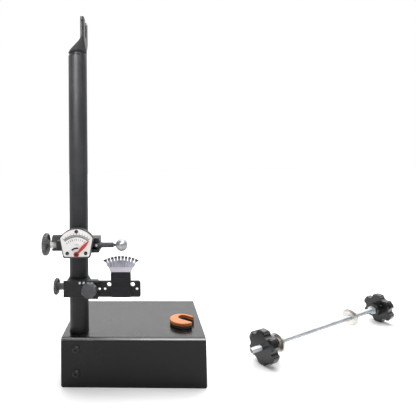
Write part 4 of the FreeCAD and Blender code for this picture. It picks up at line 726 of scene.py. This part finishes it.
def make_comb():
    """The comb with its slots as narrow as they look, its step painted paler as a highlight and its
    finger tips darker.
    """
    comb = node_copy("slotted_comb", "comb_plate")
    _, centre, high = reach_of(comb)
    heart = Vector((centre.x, 0, high.z - COMB_REACH))
    slot_floor = COMB_REACH - SLOT_DEPTH - SLOT_MARGIN
    for vertex in comb.data.vertices:
        x, z = vertex.co.x - heart.x, vertex.co.z - heart.z
        reach, angle = math.hypot(x, z), math.atan2(x, z)
        slot = round(angle / SLOT_PITCH)
        turn = slot * SLOT_PITCH
        across = reach * math.sin(angle - turn)
        in_a_slot = abs(slot) <= COMB_SLOTS // 2 and abs(across) < SLOT_WIDTH * SLOT_CATCH
        if reach > slot_floor and in_a_slot:
            along = reach * math.cos(angle - turn)
            across *= SLOT_NARROWING
            vertex.co.x = heart.x + along * math.sin(turn) + across * math.cos(turn)
            vertex.co.z = heart.z + along * math.cos(turn) - across * math.sin(turn)
    bpy.ops.object.shade_smooth_by_angle(angle=SMOOTH_UNDER)
    tree = finishes["comb_steel"].node_tree
    spot = add(tree, "ShaderNodeTexCoord").outputs["Object"]
    height = add(tree, "ShaderNodeSeparateXYZ")
    tree.links.new(spot, height.inputs[0])
    # A band on the step, painted paler as a highlight
    step_low = high.z - COMB_TOP_OVER_STEP
    step_high = step_low + STEP_HEIGHT
    rising = stepped(tree, height.outputs["Z"], step_low - STEP_BLUR, step_low + STEP_BLUR)
    past = stepped(tree, height.outputs["Z"], step_high - STEP_BLUR, step_high + STEP_BLUR)
    step = value_of(tree, "SUBTRACT", rising, past, clamp=True)
    tint(finishes["comb_steel"], step, STEP_HIGHLIGHT_TONE)
    place = add(tree, "ShaderNodeVectorMath", operation="SUBTRACT")
    tree.links.new(spot, place.inputs[0])
    place.inputs[1].default_value = heart
    flat = add(tree, "ShaderNodeVectorMath", operation="MULTIPLY")
    flat.inputs[1].default_value = (1, 0, 1)
    tree.links.new(place.outputs[0], flat.inputs[0])
    length = add(tree, "ShaderNodeVectorMath", operation="LENGTH")
    tree.links.new(flat.outputs[0], length.inputs[0])
    tips = stepped(
        tree, length.outputs["Value"], COMB_REACH - TIP_FADE_START, COMB_REACH - TIP_FADE_END,
    )
    tint(finishes["comb_steel"], tips, TIP_TONE)
    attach(comb, "comb_slide")
    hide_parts("comb_plate")


def make_needle():
    """A leaf-shaped needle, stamped from sheet and painted."""
    lowest, _, highest = reach_of(nodes["gauge_needle"])
    left_side = [(-half_width, height) for half_width, height in NEEDLE_BLADE]
    blade = left_side + [(0, NEEDLE_TIP)] + list(reversed(NEEDLE_BLADE))
    hub = [
        (NEEDLE_HUB * math.sin(turn), NEEDLE_HUB * math.cos(turn))
        for turn in (math.radians(degrees) for degrees in NEEDLE_HUB_ARC)
    ]
    outline = [(x * MM, z * MM) for x, z in blade] + hub
    drop_selection()
    bpy.ops.mesh.primitive_circle_add(vertices=len(outline), radius=1, fill_type="NGON")
    needle = bpy.context.object
    needle.name = needle.data.name = "leaf_needle"
    for vertex, (x, z) in zip(needle.data.vertices, outline):
        vertex.co = (x, z, 0)
    thickness = highest.y - lowest.y
    bpy.ops.object.mode_set(mode="EDIT")
    bpy.ops.mesh.select_all(action="SELECT")
    bpy.ops.mesh.extrude_region_move(TRANSFORM_OT_translate={"value": (0, 0, thickness)})
    bpy.ops.mesh.select_all(action="SELECT")
    bpy.ops.mesh.normals_make_consistent(inside=False)
    bpy.ops.object.mode_set(mode="OBJECT")
    needle.matrix_world = (
        Matrix.Translation((DIAL_PIVOT.x, highest.y, DIAL_PIVOT.z))
        @ Matrix.Rotation(NEEDLE_SWING, 4, "Y") @ Matrix.Rotation(math.pi / 2, 4, "X")
    )
    settle(needle)
    needle.data.materials.clear()
    needle.data.materials.append(finishes["needle_paint"])
    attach(needle, "needle")
    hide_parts("gauge_needle")


def make_spring():
    """The spring, shaded smooth, with its place baked into its mesh."""
    spring = node_copy("coil_spring", "plunger_spring")
    bpy.ops.object.shade_smooth_by_angle(angle=SPRING_SMOOTH_UNDER)
    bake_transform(spring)
    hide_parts("plunger_spring")


make_dial_print()
make_pressed_column()
make_threaded_rod()
hollow_knob(
    "lateral_clamp_knob", "lateral_knob",
    thickness=5.8 * MM, rim=14 * MM, hub=6.6 * MM, depth=3.6 * MM,
)
hollow_knob(
    "radial_clamp_knob", "radial_knob",
    thickness=5 * MM, rim=9.9 * MM, hub=5.4 * MM, depth=3 * MM,
)
make_comb()
make_needle()
make_spring()


# Studio
def make_floor():
    drop_selection()
    bpy.ops.mesh.primitive_plane_add(size=60, location=(0, 0, 0))
    floor = bpy.context.object
    floor.name = "floor"
    paper = bpy.data.materials.new("pale_paper")
    paper.use_nodes = True
    shader = paper.node_tree.nodes["Principled BSDF"]
    shader.inputs["Base Color"].default_value = (0.93, 0.93, 0.93, 1)
    shader.inputs["Roughness"].default_value = 0.9
    shader.inputs["Specular IOR Level"].default_value = 0.1
    shader.inputs["Emission Color"].default_value = (1, 1, 1, 1)
    shader.inputs["Emission Strength"].default_value = 0.12
    floor.data.materials.append(paper)


def make_soft_light(name, spot, aim, width, height, power, spread=180, only_gloss=False):
    """A panel that the camera doesn't see. One for gloss only shows in what shines."""
    panel = bpy.data.lights.new(name, "AREA")
    panel.shape = "RECTANGLE"
    panel.size, panel.size_y, panel.energy = width, height, power
    panel.spread = math.radians(spread)
    lamp = bpy.data.objects.new(name, panel)
    lamp.location = spot
    lamp.rotation_euler = (Vector(aim) - Vector(spot)).to_track_quat("-Z", "Y").to_euler()
    lamp.visible_diffuse = not only_gloss
    lamp.visible_camera = False
    bpy.context.scene.collection.objects.link(lamp)


def make_even_light(name, toward, spread, power):
    """Soft light that is as strong on the far floor as on the near."""
    sun = bpy.data.lights.new(name, "SUN")
    sun.energy, sun.angle = power, math.radians(spread)
    lamp = bpy.data.objects.new(name, sun)
    lamp.rotation_euler = Vector(toward).to_track_quat("Z", "Y").to_euler()
    bpy.context.scene.collection.objects.link(lamp)


def make_sky():
    """White where it is seen. As light it is bright behind and above, and dim in front."""
    world = bpy.data.worlds.new("studio")
    bpy.context.scene.world = world
    world.use_nodes = True
    tree = world.node_tree
    tree.nodes.clear()
    seen, lit = add(tree, "ShaderNodeBackground"), add(tree, "ShaderNodeBackground")
    seen.inputs["Color"].default_value = lit.inputs["Color"].default_value = (1, 1, 1, 1)
    seen.inputs["Strength"].default_value = 1.0
    lit.inputs["Strength"].default_value = 1.0
    ways = add(tree, "ShaderNodeSeparateXYZ")
    tree.links.new(add(tree, "ShaderNodeTexCoord").outputs["Generated"], ways.inputs[0])

    def graded(way, low, high, weak, strong):
        node = add(tree, "ShaderNodeMapRange", interpolation_type="SMOOTHSTEP")
        marks = (("From Min", low), ("From Max", high), ("To Min", weak), ("To Max", strong))
        for name, value in marks:
            node.inputs[name].default_value = value
        tree.links.new(way, node.inputs["Value"])
        return node.outputs["Result"]

    backward = graded(ways.outputs["Y"], low=-0.5, high=0.75, weak=0.06, strong=1.7)
    upward = graded(ways.outputs["Z"], low=0.27, high=0.47, weak=0.58, strong=1.5)
    strength = value_of(tree, "MULTIPLY", backward, upward)
    tree.links.new(strength, lit.inputs["Strength"])
    path = add(tree, "ShaderNodeLightPath")
    both = add(tree, "ShaderNodeMixShader")
    out = add(tree, "ShaderNodeOutputWorld")
    tree.links.new(path.outputs["Is Camera Ray"], both.inputs[0])
    tree.links.new(lit.outputs[0], both.inputs[1])
    tree.links.new(seen.outputs[0], both.inputs[2])
    tree.links.new(both.outputs[0], out.inputs[0])


def make_camera():
    eye = bpy.data.cameras.new("camera")
    eye.lens, eye.sensor_width = CAMERA_LENS, CAMERA_SENSOR
    eye.shift_x, eye.shift_y = CAMERA_SHIFT_X, CAMERA_SHIFT_Y
    eye.clip_start = 0.01
    camera = bpy.data.objects.new("camera", eye)
    camera.matrix_world = (
        Matrix.Translation(CAMERA_SPOT)
        @ Matrix.Rotation(math.radians(CAMERA_TURN), 4, "Z")
        @ Matrix.Rotation(math.radians(CAMERA_TILT), 4, "X")
        @ Matrix.Rotation(math.radians(CAMERA_ROLL), 4, "Z")
    )
    bpy.context.scene.collection.objects.link(camera)
    bpy.context.scene.camera = camera


make_floor()
make_sky()
make_even_light("high_sun", toward=(0.25, 0.35, 1.0), spread=50, power=0.6)
make_soft_light(
    "overhead", spot=(0.1, 0.3, 1.5), aim=(0.05, 0.0, 0.1), width=1.6, height=1.0, power=6,
)
make_soft_light(
    "column_panel", spot=(-0.3, -0.85, 0.8), aim=(-0.0776, -0.045, 0.42), width=0.3, height=0.3,
    power=0.85, spread=24,
)
make_soft_light(
    "high_front_panel", spot=(0.42, -0.9, 1.35), aim=(0.1, 0.0, 0.2), width=1.1, height=0.5,
    power=24, only_gloss=True,
)
make_soft_light(
    "back_panel", spot=(0.0, 1.2, 0.63), aim=(0.0, 0.0, 0.065), width=1.6, height=0.32,
    power=1.7, only_gloss=True,
)
make_even_light("floor_light", toward=(0.0, -0.2, 1.0), spread=40, power=0.9)
make_camera()
bpy.context.scene.view_settings.view_transform = "Standard"
